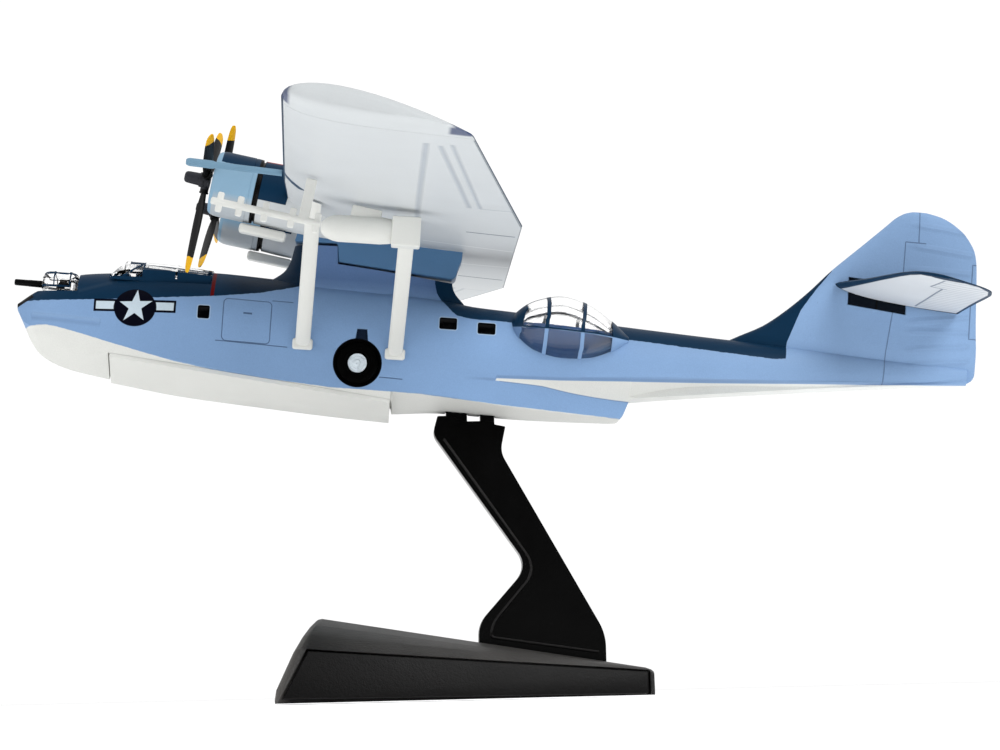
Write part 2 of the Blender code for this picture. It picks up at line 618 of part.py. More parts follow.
def cylinder_form(centre, angle):
    """One engine cylinder, standing out from the crankcase."""
    rings = []
    for reach, radius in ((1.35, 0.45), (1.9, 0.45), (2.0, 0.6), (3.0, 0.6), (3.25, 0.4)):
        ring = []
        for i in range(10):
            turn = 2.0 * math.pi * i / 10
            across = radius * math.sin(turn)
            ring.append((centre[0] + 2.7 + radius * math.cos(turn),
                         centre[1] + reach * math.sin(angle) + across * math.cos(angle),
                         centre[2] + reach * math.cos(angle) - across * math.sin(angle)))
        rings.append(ring)
    return loft(rings)


def blade_ring(radius, chord, thick, twist):
    c = math.cos(twist)
    s = math.sin(twist)
    ring = []
    for u, v in ((-0.5, 0.0), (-0.25, 0.42), (0.1, 0.5), (0.5, 0.0), (0.1, -0.25), (-0.25, -0.25)):
        along_disc = u * chord
        through = v * thick
        ring.append((through * c - along_disc * s, along_disc * c + through * s, -radius))
    return ring


def make_propellers():
    blade = ((0.4, 0.7, 0.6, 1.0), (1.6, 0.75, 0.6, 0.95), (3.6, 1.25, 0.5, 0.75), (6.5, 1.45, 0.42, 0.55),
             (9.4, 1.35, 0.36, 0.42), (11.4, 1.05, 0.3, 0.36), (PROP_RADIUS, 0.45, 0.2, 0.34))
    for side, sign in SIDES.items():
        location = (PROP_PLANE, sign * ENGINE_Y, THRUST_Z)
        shaft_axes = new_axes("shaft_axes_" + side, location, 0.0, wing_axes)
        hub = turned(((-2.9, 0.45), (-2.6, 0.75), (-0.9, 0.85), (-0.75, 0.95), (0.55, 0.95)),
                     (0.0, 0.0, 0.0), "X", 20)
        prop = new_object("propeller_" + side, hub, shaft_axes, BLACK)
        for i in range(3):
            bm = loft([blade_ring(*row) for row in blade])
            turn = Matrix.Rotation(math.radians(120.0 * i + PROP_TURN[side]), 3, "X")
            bmesh.ops.rotate(bm, verts=bm.verts, cent=(0.0, 0.0, 0.0), matrix=turn)
            boolean(prop, new_object("blade_%s_%d" % (side, i), bm, shaft_axes), "UNION")


def make_struts():
    for side, sign in SIDES.items():
        for place, (foot_x, foot_z) in STRUT_FEET.items():
            foot_y = along(WIDE_BEAM, foot_x) + GAP
            feet = []
            tops = []
            for i in range(12):
                angle = 2.0 * math.pi * i / 12
                u = 0.5 * STRUT_CHORD * math.cos(angle)
                v = 0.5 * STRUT_THICK * math.sin(angle)
                feet.append(Vector((foot_x + u, sign * foot_y, foot_z + v * 1.2)))
                top_x = STRUT_TOP_X[place] + u
                top_y = STRUT_TOP_Y - v * 1.4
                top = wing_to_craft(top_x, sign * top_y, wing_lower(top_x, top_y) - GAP)
                tops.append(top)
            new_object("strut_%s_%s" % (place, side), loft([feet, tops]), craft, WHITE)


def make_wheels():
    for side, sign in SIDES.items():
        centre = (WHEEL_CENTRE[0], 0.0, WHEEL_CENTRE[1])
        inner = sign * (WHEEL_WELL_Y + GAP)
        outer = sign * WHEEL_FACE_Y
        tyre = turned(((inner, TYRE_RADIUS - 0.1), (outer - sign * 0.5, TYRE_RADIUS),
                       (outer - sign * 0.15, TYRE_RADIUS - 0.2), (outer, TYRE_RADIUS - 0.7)), centre, "Y")
        tyre = new_object("tyre_" + side, tyre, craft, BLACK, 0.6)
        bore = turned(((inner - sign * 0.5, HUB_RADIUS + 0.15), (outer + sign * 1.0, HUB_RADIUS + 0.15)),
                      centre, "Y")
        boolean(tyre, new_object("tyre_bore_" + side, bore, craft), "DIFFERENCE")
        hub = turned(((inner, HUB_RADIUS), (outer - sign * 0.35, HUB_RADIUS), (outer - sign * 0.25, 0.9),
                      (outer - sign * 0.05, 0.4)), centre, "Y")
        new_object("wheel_hub_" + side, hub, craft, (0.55, 0.68, 0.78), 0.4)


def make_wing_fittings():
    pitot = turned(((-12.0, 0.34), (-11.8, 0.46), (-11.5, 0.52), (-8.6, 0.52), (-8.4, 0.42), (-0.15, 0.4)),
                   (0.0, 0.0, 0.0), "X", 20)
    droop = Matrix.Rotation(-PITOT_DROOP, 3, "Y")
    bmesh.ops.rotate(pitot, verts=pitot.verts, cent=(0.0, 0.0, 0.0), matrix=droop)
    bmesh.ops.translate(pitot, vec=(0.0, -PITOT_Y, PITOT_Z), verts=pitot.verts)
    new_object("pitot_boom", pitot, wing_axes, LIGHT_BLUE)
    for side, sign in SIDES.items():
        y = sign * ANTENNA_Y
        boom = turned(((-7.1, 0.45), (6.6, 0.45)), (0.0, y, ANTENNA_Z), "X", 12)
        aerial = new_object("antenna_" + side, boom, wing_axes, WHITE)
        for i, x in enumerate(ANTENNA_RODS):
            rod = box((0.8, 0.7, 2.5), (x, y, ANTENNA_Z))
            boolean(aerial, new_object("antenna_rod_%s_%d" % (side, i), rod, wing_axes), "UNION")
        post_top = wing_lower(4.6, ANTENNA_Y) - GAP
        post = box((1.3, 0.75, post_top - ANTENNA_Z), (4.4, y, 0.5 * (post_top + ANTENNA_Z)))
        boolean(aerial, new_object("antenna_post_" + side, post, wing_axes), "UNION")
        nose = (STORE_NOSE[0], sign * STORE_Y, STORE_NOSE[1])
        body = turned(((0.0, 0.3), (0.2, 0.8), (1.0, 1.4), (2.3, 1.7), (7.5, 1.7), (10.2, 1.2), (12.2, 0.8)),
                      nose, "X", 20)
        store = new_object("store_" + side, body, craft, WHITE)
        tail = box((3.6, 3.7, 3.7), (nose[0] + 10.7, nose[1], nose[2]))
        boolean(store, new_object("store_tail_" + side, tail, craft), "UNION")
        hollow = box((3.6, 2.9, 2.9), (nose[0] + 12.0, nose[1], nose[2]))
        boolean(store, new_object("store_tail_hollow_" + side, hollow, craft), "DIFFERENCE")
        rack_top = min(wing_lower(9.5, STORE_Y), wing_lower(13.5, STORE_Y)) - GAP
        rack = box((3.8, 0.8, rack_top + 4.6), (11.4, sign * STORE_Y, 0.5 * (rack_top - 4.6)))
        boolean(store, new_object("store_rack_" + side, rack, wing_axes), "UNION")


def make_stabilizers():
    lead = Vector((STAB_ROOT_LE[0], 0.0, STAB_ROOT_LE[1]))
    chord = Vector((STAB_ROOT_TE[0], 0.0, STAB_ROOT_TE[1])) - lead
    up = Vector((-chord.z, 0.0, chord.x)).normalized()
    half = 0.05 * chord.length
    section = ((0.0, 0.0), (0.02, 0.35), (0.06, 0.6), (0.15, 0.86), (0.3, 1.0), (0.65, 0.75), (1.0, 0.15),
               (1.0, -0.15), (0.65, -0.75), (0.3, -1.0), (0.15, -0.86), (0.06, -0.6), (0.02, -0.35))
    tab = (6.0, ROOT_BLOCK_Y[1] + 0.8 - ROOT_BLOCK_Y[0], 0.4)
    for side, sign in SIDES.items():
        root = [lead + chord * t + up * (w * half) for t, w in section]
        rings = [[(p.x, sign * (fin_half(p.x, p.z) + GAP), p.z) for p in root]]
        for y, start, end, thick, rise in STAB_STATIONS:
            ring = []
            for t, w in section:
                point = lead + chord * (start + t * (end - start)) + up * (w * half * thick + rise)
                ring.append((point.x, sign * y, point.z))
            rings.append(ring)
        tail = new_object("stabilizer_" + side, loft(rings), craft, WHITE)
        block = new_object("root_block_" + side, root_block(sign, 0.0), craft)
        stem = box(tab, (0.5 * sum(ROOT_BLOCK_X), sign * (ROOT_BLOCK_Y[0] + 0.5 * tab[1] + 0.1), 19.6))
        boolean(tail, block, "UNION")
        boolean(tail, new_object("root_tab_" + side, stem, craft), "UNION")


def base_ring(outline, x, lean):
    half = [(x, 0.0, 0.0)]
    half += [(x + shift, y, z) for (y, z), shift in zip(outline, lean)]
    half.append((x + lean[-1], 0.0, outline[-1][1]))
    return mirrored(half)


def plate_form(grow, depth):
    """Slab on the base's port face between two depths, grown along its edges."""
    def at(part, level):
        ends = []
        for outline, x, lean in ((BASE_FRONT, BASE_LENGTH[0], BASE_FRONT_LEAN),
                                 (BASE_BACK, BASE_LENGTH[1], BASE_BACK_LEAN)):
            low, high = [Vector((x + lean[k], -outline[k][0], outline[k][1])) for k in FACE_LEVELS]
            ends.append(low.lerp(high, level))
        return ends[0].lerp(ends[1], part)
    outward = (at(1.0, 0.0) - at(0.0, 0.0)).cross(at(0.0, 1.0) - at(0.0, 0.0)).normalized()
    corners = [at(*corner) for corner in PLATE_CORNERS]
    for low, high, side in ((0, 3, -1.2), (1, 2, 1.2)):
        edge = (corners[high] - corners[low]).normalized()
        corners[low] += Vector((side * grow, 0.0, 0.0)) - edge * 4.0 * grow
        corners[high] += Vector((side * grow, 0.0, 0.0)) + edge * grow
    return loft([[p - outward * d for p in corners] for d in depth])


def make_stand():
    outline = rounded(ARM_CORNERS)
    arm = new_object("stand_arm", prism(outline, -0.5 * ARM_THICK, 0.5 * ARM_THICK), None, BLACK, 0.2)
    for i, (x0, x1, top) in enumerate(ARM_PEGS):
        peg = box((x1 - x0, PEG_THICK, 5.0), (0.5 * (x0 + x1), 0.0, top - 2.5))
        boolean(arm, new_object("arm_peg_%d" % i, peg, None), "UNION")
    rings = [base_ring(BASE_FRONT, BASE_LENGTH[0], BASE_FRONT_LEAN),
             base_ring(BASE_BACK, BASE_LENGTH[1], BASE_BACK_LEAN)]
    base = new_object("stand_base", loft(rings), None, (0.012, 0.012, 0.013), 0.5)
    room = new_object("plate_room", plate_form(GAP, (-1.5, PLATE_THICK + GAP)), None)
    boolean(base, room, "DIFFERENCE")
    new_object("stand_nameplate", plate_form(0.0, (0.0, PLATE_THICK)), None, (0.012, 0.012, 0.013), 0.5)


clear_scene()
parts = new_collection("flying_boat_model")
cutters = new_collection("cutters")
craft = new_axes("craft_axes", CRAFT_ORIGIN, NOSE_UP)
wing_axes = new_axes("wing_axes", WING_ORIGIN, WING_INCIDENCE, craft)

make_hull()
make_keel_insert()
make_blisters()
make_canopy()
make_turret()
make_wing()
make_tip_floats()
make_engines()
make_propellers()
make_struts()
make_wheels()
make_wing_fittings()
make_stabilizers()
make_stand()
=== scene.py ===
"""Dresses the flying boat model and its stand: fine shapes, paint, clear parts, light, camera.

Sizes are millimetres in the aircraft's own axes, in the wing's or in the stand's; CRAFT, WING
and STAND put them in the frame.
"""
import json
import math
from functools import partialmethod, reduce
from operator import or_

import bpy
from mathutils import Matrix, Vector

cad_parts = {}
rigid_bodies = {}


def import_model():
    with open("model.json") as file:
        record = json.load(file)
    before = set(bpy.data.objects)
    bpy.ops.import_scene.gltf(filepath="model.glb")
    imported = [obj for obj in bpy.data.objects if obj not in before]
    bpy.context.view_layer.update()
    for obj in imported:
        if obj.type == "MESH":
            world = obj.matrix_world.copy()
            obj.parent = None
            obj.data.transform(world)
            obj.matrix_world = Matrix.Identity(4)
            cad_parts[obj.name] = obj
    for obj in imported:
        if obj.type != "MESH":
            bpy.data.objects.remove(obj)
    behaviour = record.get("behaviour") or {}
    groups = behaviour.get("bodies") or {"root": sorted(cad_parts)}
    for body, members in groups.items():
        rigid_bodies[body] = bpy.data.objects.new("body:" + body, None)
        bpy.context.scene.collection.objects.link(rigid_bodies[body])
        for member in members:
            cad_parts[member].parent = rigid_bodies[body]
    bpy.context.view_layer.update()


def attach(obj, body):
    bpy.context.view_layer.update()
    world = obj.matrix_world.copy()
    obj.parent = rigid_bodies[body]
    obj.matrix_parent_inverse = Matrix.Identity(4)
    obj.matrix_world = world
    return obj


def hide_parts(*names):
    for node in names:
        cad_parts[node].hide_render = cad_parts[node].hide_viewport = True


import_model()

MM = 0.001
GAP = 0.3

# Attitude of the aircraft on the stand
NOSE_UP = math.radians(4.8)
WING_INCIDENCE = math.radians(8.8)
STAND = Matrix.Scale(MM, 4)
CRAFT = STAND @ Matrix.Translation((1.43, 0.0, 38.21)) @ Matrix.Rotation(NOSE_UP, 4, "Y")
WING_SPOT = (-26.0, 0.0, 26.2)
WING = CRAFT @ Matrix.Translation(WING_SPOT) @ Matrix.Rotation(WING_INCIDENCE, 4, "Y")

# Where the paints' axes lie, as (origin, pitch)
CRAFT_PLACE = (CRAFT.translation, NOSE_UP)
WING_PLACE = (WING.translation, NOSE_UP + WING_INCIDENCE)
STAND_PLACE = (STAND.translation, 0.0)

SIDES = {"port": -1.0, "starboard": 1.0}

# Hull lines: (distance aft, height or half width)
KEEL_LINES = (
    ((-61.7, 10.3), (-60.5, 8.0), (-59.7, 6.4), (-58.2, 4.5), (-54.8, 2.9), (-48.75, 1.75)),
    ((-48.6, 4.8), (-10.9, 0.8)), ((-10.6, -0.6), (-4.0, -0.1), (6.5, -0.3), (21.1, 0.0)),
    ((21.2, 2.9), (25.5, 3.5), (47.1, 6.0), (66.8, 8.1)))
CHINE_LINES = (
    ((-61.7, 10.7), (-60.5, 8.6), (-59.0, 8.0), (-57.6, 8.1), (-53.5, 7.4), (-48.8, 6.3), (-40.0, 4.3),
     (-28.4, 2.7), (-19.0, 1.9), (-7.0, 1.8), (4.1, 1.0), (14.1, 0.6), (21.1, 0.5)),
    ((21.2, 3.3), (47.1, 6.4), (66.8, 8.4)))
CHINE_BEAM = (
    (-61.7, 0.8), (-60.5, 2.5), (-58.0, 4.8), (-53.5, 6.8), (-48.8, 8.0), (-40.0, 9.1), (-28.4, 9.8),
    (-19.0, 10.1), (-10.7, 9.9), (4.1, 7.8), (14.1, 5.4), (20.4, 3.9), (20.9, 3.6), (47.1, 1.9),
    (66.8, 0.7))
LEDGE_IN_LINE = (
    (-5.0, 4.9), (3.2, 4.5), (6.0, 4.18), (9.25, 3.94), (11.9, 3.53), (14.5, 3.21), (19.0, 2.88),
    (21.1, 2.82), (21.2, 3.5), (47.1, 6.7), (66.8, 8.7))
LEDGE_OUT_LINE = ((-5.0, 5.2), (3.2, 5.0), (26.0, 6.3), (55.5, 7.7), (66.8, 9.0))
WIDE_BEAM = (
    (-61.7, 0.9), (-60.5, 2.4), (-58.0, 4.2), (-53.5, 6.0), (-48.8, 7.4), (-40.0, 8.9), (-30.0, 9.8),
    (-20.0, 10.2), (-8.0, 10.2), (0.0, 9.8), (10.0, 8.8), (21.0, 7.0), (31.0, 5.4), (47.0, 3.25),
    (60.0, 1.65), (66.8, 0.95))
DECK_LINE = (
    (-61.7, 11.2), (-59.4, 12.9), (-56.0, 14.6), (-53.2, 15.6), (-49.6, 16.0), (-35.4, 16.9),
    (-28.2, 16.6), (-3.3, 14.9), (-0.5, 14.5), (5.1, 14.15), (20.2, 13.1), (31.8, 12.4), (47.0, 11.6),
    (66.8, 10.4))
HULL_RUNS = (
    (-61.7, -58.2, 0.25), (-58.2, -48.75, 0.6), (-48.75, -48.6, 0.3), (-48.6, -10.9, 1.0),
    (-10.9, -10.6, 0.3), (-10.6, 21.1, 0.9), (21.1, 21.2, 0.5), (21.2, 66.8, 1.1))
DECK_ARC_STEPS = 22
KEEL_INSERT_SPAN = (-48.5, -10.9)
STEP_KEEL_LINE = ((-48.9, 1.35), (-39.3, 0.05), (-28.4, -0.8), (-17.5, -1.5), (-10.7, -1.8))
STEP_CORNER = (
    (18.6, -1.5), (22.5, -1.5), (22.5, 2.78), (21.08, 2.78), (20.8, 2.0), (20.5, 1.15), (20.3, 0.75),
    (20.05, 0.42), (19.7, 0.16), (19.2, 0.02), (18.6, -0.05))
DECK_TROUGH = ((5.9, 12.95), (18.3, 12.2), (18.3, 18.0), (5.9, 18.0))

# Pylon, fin and rudder, as (height, leading edge, trailing edge, half width)
PYLON_LEVELS = (
    (12.0, -30.6, 0.5, 5.6), (15.1, -29.8, -2.1, 5.3), (15.6, -29.6, -2.6, 5.2), (16.1, -28.6, -3.0, 4.9),
    (16.7, -27.6, -3.3, 4.6), (17.6, -26.4, -3.5, 4.2), (18.4, -25.8, -3.5, 4.0),
    (19.4, -25.4, -3.5, 3.9), (21.3, -25.0, -3.5, 3.8))
PYLON_NOSE = 0.16
PYLON_BLOCK = (
    (-25.0, 21.6), (-19.2, 21.7), (-19.0, 19.2), (-3.5, 17.8), (-3.05, 18.2), (-2.85, 19.3), (-2.4, 20.6),
    (-2.3, 22.4), (-6.0, 24.6), (-24.0, 25.6))
PYLON_HALF_WIDTH = 3.8
FIN_NOSE = 0.2
FIN_LEVELS = (
    (8.2, 45.0, 66.6, 0.6), (8.8, 32.0, 67.5, 0.9), (9.6, 30.0, 67.85, 1.3), (12.6, 35.0, 67.9, 1.75),
    (14.5, 38.8, 67.8, 1.65), (16.5, 41.5, 67.7, 1.5), (19.5, 44.8, 67.6, 1.38), (22.6, 47.75, 67.5, 1.3),
    (24.5, 49.8, 67.4, 1.22), (26.3, 51.8, 67.05, 1.15), (27.6, 53.2, 66.35, 1.08),
    (28.7, 54.4, 65.5, 1.0), (29.6, 55.35, 64.4, 0.92), (30.25, 56.05, 63.4, 0.84),
    (30.75, 56.8, 62.3, 0.74), (31.05, 57.4, 61.2, 0.62), (31.25, 58.2, 60.3, 0.46))
LEVEL_STEPS = (
    0.0, 0.003, 0.01, 0.02, 0.035, 0.06, 0.09, 0.13, 0.18, 0.25, 0.35, 0.45, 0.55, 0.65, 0.75, 0.85, 0.93,
    1.0)

# Wing in its own axes: x along the chord from the leading edge, y out along the span
CHORD_ROOT = 30.8
CHORD_TIP = 21.3
KINK_Y = 38.6
TIP_Y = 105.0
WING_END_Y = 99.8
TIP_SWEEP = 0.9
TIP_RISE = 1.6
THICKNESS = 0.17
CAMBER = 0.02
FOIL_STEPS = [0.5 * (1.0 - math.cos(math.pi * k / 22.0)) for k in range(23)]
FLOAT_STATIONS = (
    (100.1, 0.83, 22.87, 1.0), (101.9, 1.0, 22.4, 0.95), (103.6, 1.3, 21.2, 0.86),
    (104.9, 2.0, 20.2, 0.72), (105.6, 3.4, 19.0, 0.53), (105.9, 5.2, 17.3, 0.32))

# Engines, in the wing's axes
ENGINE_Y = 17.3
THRUST_Z = -0.45
COWL_FRONT = -9.8
COWL_BACK = -3.85
COWL_RADIUS = 4.3
NACELLE_STATIONS = (
    (-3.5, 4.15, 4.15, -0.45), (0.0, 4.2, 4.25, -0.45), (6.0, 3.9, 3.9, -0.6), (12.0, 3.0, 2.7, -0.9),
    (16.5, 1.4, 1.0, -1.0))
PROP_RADIUS = 12.3
PROP_PLANE = -10.75
PROP_TURN = {"port": 8.0, "starboard": -44.0}
TIP_LENGTH = 2.1
CYLINDERS = 7

# Turned forms as (reach, radius), but for the cowl as (reach, cut off its radius)
COWL_LIP = (
    (4.0, 0.5), (0.9, 0.5), (0.55, 0.72), (0.3, 0.96), (0.12, 0.92), (0.03, 0.8), (0.0, 0.7), (0.05, 0.5),
    (0.16, 0.34), (0.36, 0.2), (0.62, 0.11), (0.95, 0.03), (1.4, 0.0))
COWL_SKIRT = ((-1.0, 0.0), (-0.95, 0.06), (-0.85, 0.06), (-0.8, 0.01), (0.0, 0.05), (0.0, 0.5))
ENGINE_CASE = (
    (-0.05, 0.45), (0.1, 0.6), (0.9, 0.7), (1.0, 0.95), (1.1, 0.95), (1.4, 1.3), (1.5, 1.42), (1.6, 1.42),
    (1.9, 1.6), (3.5, 1.6), (3.6, 3.4))

# Blades: a section of (chord, thickness), and stations as (reach, chord, thickness, twist)
BLADE_SECTION = (
    (-0.5, 0.0), (-0.44, 0.22), (-0.33, 0.36), (-0.16, 0.47), (0.05, 0.5), (0.25, 0.36), (0.42, 0.12),
    (0.5, 0.0), (0.4, -0.08), (0.1, -0.24), (-0.15, -0.27), (-0.36, -0.22), (-0.47, -0.1))
BLADE_STATIONS = (
    (0.4, 0.7, 0.6, 1.0), (1.6, 0.85, 0.6, 0.95), (3.6, 1.4, 0.52, 0.85), (6.5, 1.65, 0.46, 0.75),
    (9.4, 1.6, 0.4, 0.68), (11.4, 1.3, 0.34, 0.64), (12.0, 0.98, 0.28, 0.62), (PROP_RADIUS, 0.55, 0.22, 0.62))

# Turned forms of the hub and the blades' cuffs
DOME_PROFILE = (
    (-2.9, 0.2), (-2.88, 0.45), (-2.78, 0.62), (-2.6, 0.74), (-2.3, 0.78), (-0.9, 0.84), (-0.86, 0.95),
    (-0.75, 1.0), (-0.3, 1.0), (-0.25, 0.9), (0.3, 0.9), (0.35, 0.95), (0.55, 0.95))
CUFF_PROFILE = ((0.7, 0.55), (1.5, 0.55), (1.55, 0.62), (1.7, 0.62), (1.75, 0.5))

# Struts: hull foot and wing top in the craft's axes, chord and thickness
STRUT_FEET = {"front": (-22.9, 7.3), "rear": (-10.6, 6.7)}
STRUT_TOP_X = {"front": 4.4, "rear": 16.6}
STRUT_TOP_Y = 36.0
STRUT_CHORD = 2.0
STRUT_THICK = 1.1

# Fittings under the wing
ANTENNA_Y = 56.0
ANTENNA_Z = -6.95
ANTENNA_RODS = (-6.0, -3.5, -0.35, 3.0, 6.1)
STORE_Y = 43.0
STORE_NOSE = (-20.8, 19.4)
PITOT_Y = 44.0
PITOT_Z = -0.45
PITOT_DROOP = math.radians(5.5)
PITOT_PROFILE = (
    (-11.9, 0.1), (-12.0, 0.14), (-12.0, 0.3), (-11.9, 0.4), (-11.75, 0.47), (-11.5, 0.52), (-9.0, 0.52),
    (-8.6, 0.5), (-8.4, 0.42), (-4.0, 0.41), (0.05, 0.4))
BOOM_PROFILE = ((-7.1, 0.3), (-7.02, 0.4), (-6.9, 0.45), (6.4, 0.45), (6.55, 0.4), (6.6, 0.3))
STORE_PROFILE = (
    (0.0, 0.3), (0.05, 0.5), (0.2, 0.8), (0.55, 1.15), (1.0, 1.4), (1.6, 1.6), (2.3, 1.7), (7.5, 1.7),
    (8.6, 1.58), (10.2, 1.2), (11.4, 0.95), (12.2, 0.8))

# Waist blisters, as (distance aft, bottom, top, outer half width)
BLISTER_STATIONS = (
    (4.3, 10.8, 12.1, 6.2), (5.5, 9.0, 13.9, 8.9), (8.0, 7.45, 15.55, 10.7), (11.3, 7.05, 16.25, 11.5),
    (15.0, 7.55, 15.3, 11.2), (18.1, 8.8, 13.3, 9.4), (20.4, 10.4, 11.4, 6.6))
BLISTER_ARC_STEPS = 30
BLISTER_ROOT_Y = 4.1
BLISTER_WALL = 0.5
RAIL_HALF = 0.11
HOOP_WIDTH = 0.4
BLISTER_LEAN = 0.055
BLISTER_RAIL = ((4.0, 11.72), (21.0, 10.87))
BLISTER_FRAMES = ((9.3, 0.25), (14.1, 0.25))
BLISTER_ENDS = (6.1, 18.1)

# Canopy, as (distance aft, height at the side, edge and top, half width low and high)
CANOPY_STATIONS = (
    (-49.3, 15.4, 15.6, 15.7, 5.0, 3.4), (-48.2, 15.9, 16.7, 16.9, 5.6, 3.7),
    (-47.2, 16.2, 17.4, 17.8, 5.9, 3.9), (-41.5, 16.3, 17.25, 17.65, 6.2, 4.1),
    (-35.75, 16.0, 16.8, 17.2, 6.3, 4.1))

# Turret, as (height, half length, half width), and its gun
TURRET_X = -56.1
TURRET_LEVELS = (
    (13.3, 2.35, 2.6), (13.9, 2.35, 2.6), (14.5, 2.35, 2.6), (15.05, 2.27, 2.45), (15.35, 2.15, 2.2),
    (15.6, 1.93, 1.9), (15.75, 1.7, 1.6))
GUN_PROFILE = (
    (0.6, 0.13), (0.12, 0.1), (0.06, 0.2), (0.0, 0.3), (0.05, 0.38), (0.2, 0.43), (1.9, 0.44), (1.95, 0.46),
    (3.3, 0.47), (3.74, 0.47), (3.74, 0.3))

# Wheels stowed in the sides
WHEEL_CENTRE = (-15.5, 5.3)
TYRE_RADIUS = 2.86
HUB_RADIUS = 1.28
WHEEL_FACE_Y = 10.25
WHEEL_WELL_Y = 8.4
LEG_SLOT = ((-16.05, 6.4), (-14.15, 6.4), (-14.5, 9.85), (-15.75, 9.85))
TREAD_GROOVE = ((0.0, 0.01), (0.05, 0.09), (0.1, 0.09), (0.15, 0.01))
TYRE_WALL = (
    (0.42, 0.03), (0.22, 0.16), (0.08, 0.4), (0.0, 0.72), (0.01, 0.95), (0.06, 1.0), (0.06, 1.06),
    (0.02, 1.12))
HUB_DISH = (
    (0.35, 1.28), (0.27, 1.23), (0.27, 1.14), (0.34, 1.08), (0.34, 0.92), (0.26, 0.88), (0.24, 0.8),
    (0.3, 0.74), (0.28, 0.5), (0.2, 0.46), (0.12, 0.4), (0.05, 0.34), (0.05, 0.18), (0.12, 0.14),
    (0.12, 0.05))

# Stabilizer, as (distance out, front, back, thickness, rise) with shares of the root's chord
STAB_ROOT_LE = (48.2, 20.7)
STAB_ROOT_TE = (65.1, 17.8)
STAB_STATIONS = (
    (12.0, 0.175, 1.025, 0.88, 0.25), (20.0, 0.285, 1.055, 0.72, 0.45), (24.0, 0.335, 1.062, 0.62, 0.5),
    (27.0, 0.385, 1.04, 0.52, 0.55), (29.2, 0.45, 0.95, 0.42, 0.6), (30.5, 0.53, 0.82, 0.32, 0.6),
    (31.0, 0.6, 0.71, 0.2, 0.6))
STAB_SECTION = ((0.0, 0.0), (0.02, 0.35), (0.06, 0.6), (0.15, 0.86), (0.3, 1.0), (0.65, 0.75), (1.0, 0.15))
STAB_STEPS = (0.0, 0.008, 0.02, 0.04, 0.07, 0.11, 0.16, 0.23, 0.32, 0.44, 0.56, 0.68, 0.8, 0.9, 1.0)
ROOT_BLOCK = ((50.15, 21.7), (50.15, 18.1), (57.85, 17.2), (57.85, 21.0))
ROOT_BLOCK_Y = (1.0, 1.45)

# Stand
ARM_CORNERS = (
    (-3.0, 38.0, 0.2), (-3.7, 35.6, 1.0), (8.72, 17.55, 2.4), (1.95, 10.05, 1.6), (1.9, 7.45, 0.0),
    (18.9, 4.5, 0.0), (18.9, 8.3, 1.8), (5.35, 33.0, 1.2), (6.1, 36.4, 0.2), (4.66, 36.7, 0.0),
    (4.5, 37.2, 0.0), (0.8, 37.2, 0.0), (-1.7, 38.0, 0.0))
ARM_THICK = 5.0
ARM_PEGS = ((-1.83, 1.0, 39.7), (2.76, 4.66, 39.2))
PEG_THICK = 3.0
PEG_ROOM = 0.12
BEAD_PATH = ((-2.2, 34.9, 0.0), (9.9, 17.2, 2.6), (3.6, 9.9, 1.6), (3.5, 8.2, 0.6), (17.9, 5.9, 0.0))
BASE_LENGTH = (-25.1, 24.8)
BASE_FRONT = ((22.6, 0.0), (22.4, 0.5), (21.9, 2.1), (20.3, 7.1), (17.4, 9.0), (13.5, 10.3), (9.0, 11.2))
BASE_BACK = ((11.2, 0.0), (11.1, 0.2), (10.95, 0.9), (10.4, 3.1), (9.4, 3.4), (7.5, 3.45), (5.0, 3.5))
BASE_FRONT_LEAN = (0.0, 0.0, 0.2, 2.4, 3.5, 4.4, 5.2)
BASE_RINGS = ((0.0, 1.2), (0.18, 0.7), (0.5, 0.3), (1.1, 0.0), (48.9, 0.0), (49.5, 0.2), (49.9, 0.7))
FACE_LEVELS = (1, 3)
PLATE_CORNERS = ((0.02, 0.02), (0.982, 0.02), (0.982, 0.97), (0.044, 0.97))
PLATE_THICK = 0.7

# Where the painter's masks run, as (distance aft, height)
DARK_EDGE = (
    (-62.0, 11.4), (-55.0, 11.7), (-50.3, 11.9), (-40.5, 12.7), (-34.7, 13.2), (-29.0, 14.0),
    (-25.8, 14.8), (-23.65, 15.5), (-22.4, 18.15), (-21.8, 20.65), (-21.5, 40.0), (-5.95, 40.0),
    (-5.8, 17.2), (-5.47, 15.95), (-4.35, 14.35), (-3.3, 13.1), (-2.6, 12.6), (-0.9, 12.3), (4.9, 12.2),
    (5.9, 11.8), (18.2, 11.33), (20.4, 11.0), (30.2, 10.4), (40.6, 9.8), (41.9, 10.0), (42.1, 12.4),
    (43.8, 16.9), (45.6, 19.65), (47.8, 22.55), (48.1, 40.0))
WHITE_EDGE = (
    (-62.0, 7.5), (-60.6, 7.8), (-59.6, 8.05), (-58.6, 8.2), (-57.4, 8.22), (-56.0, 8.02), (-53.4, 7.4),
    (-48.7, 6.2), (-44.5, 5.18), (-39.9, 4.15), (-36.0, 3.5), (-32.0, 2.98), (-28.3, 2.62), (-23.5, 2.18),
    (-18.9, 1.85), (-6.95, 1.75), (4.2, 1.05), (14.2, 0.66), (20.1, 0.42), (20.3, -9.0))
WEDGE_TOP = ((2.9, 4.1), (3.1, 4.5), (11.6, 4.8), (30.5, 5.95), (62.2, 7.8), (66.8, 8.1))
WEDGE_FOOT = (
    (2.9, 4.2), (6.0, 4.08), (8.0, 4.0), (9.25, 3.93), (10.5, 3.74), (11.9, 3.52), (13.2, 3.34),
    (14.5, 3.2), (16.5, 3.02), (19.0, 2.87), (21.12, 2.8), (21.16, -9.0))

# Dark panes as opposite corners, in (distance aft, height)
PANES = (((-37.1, 10.0), (-35.5, 11.77)), ((-4.95, 10.55), (-2.6, 12.2)), ((0.17, 10.25), (2.56, 11.85)))

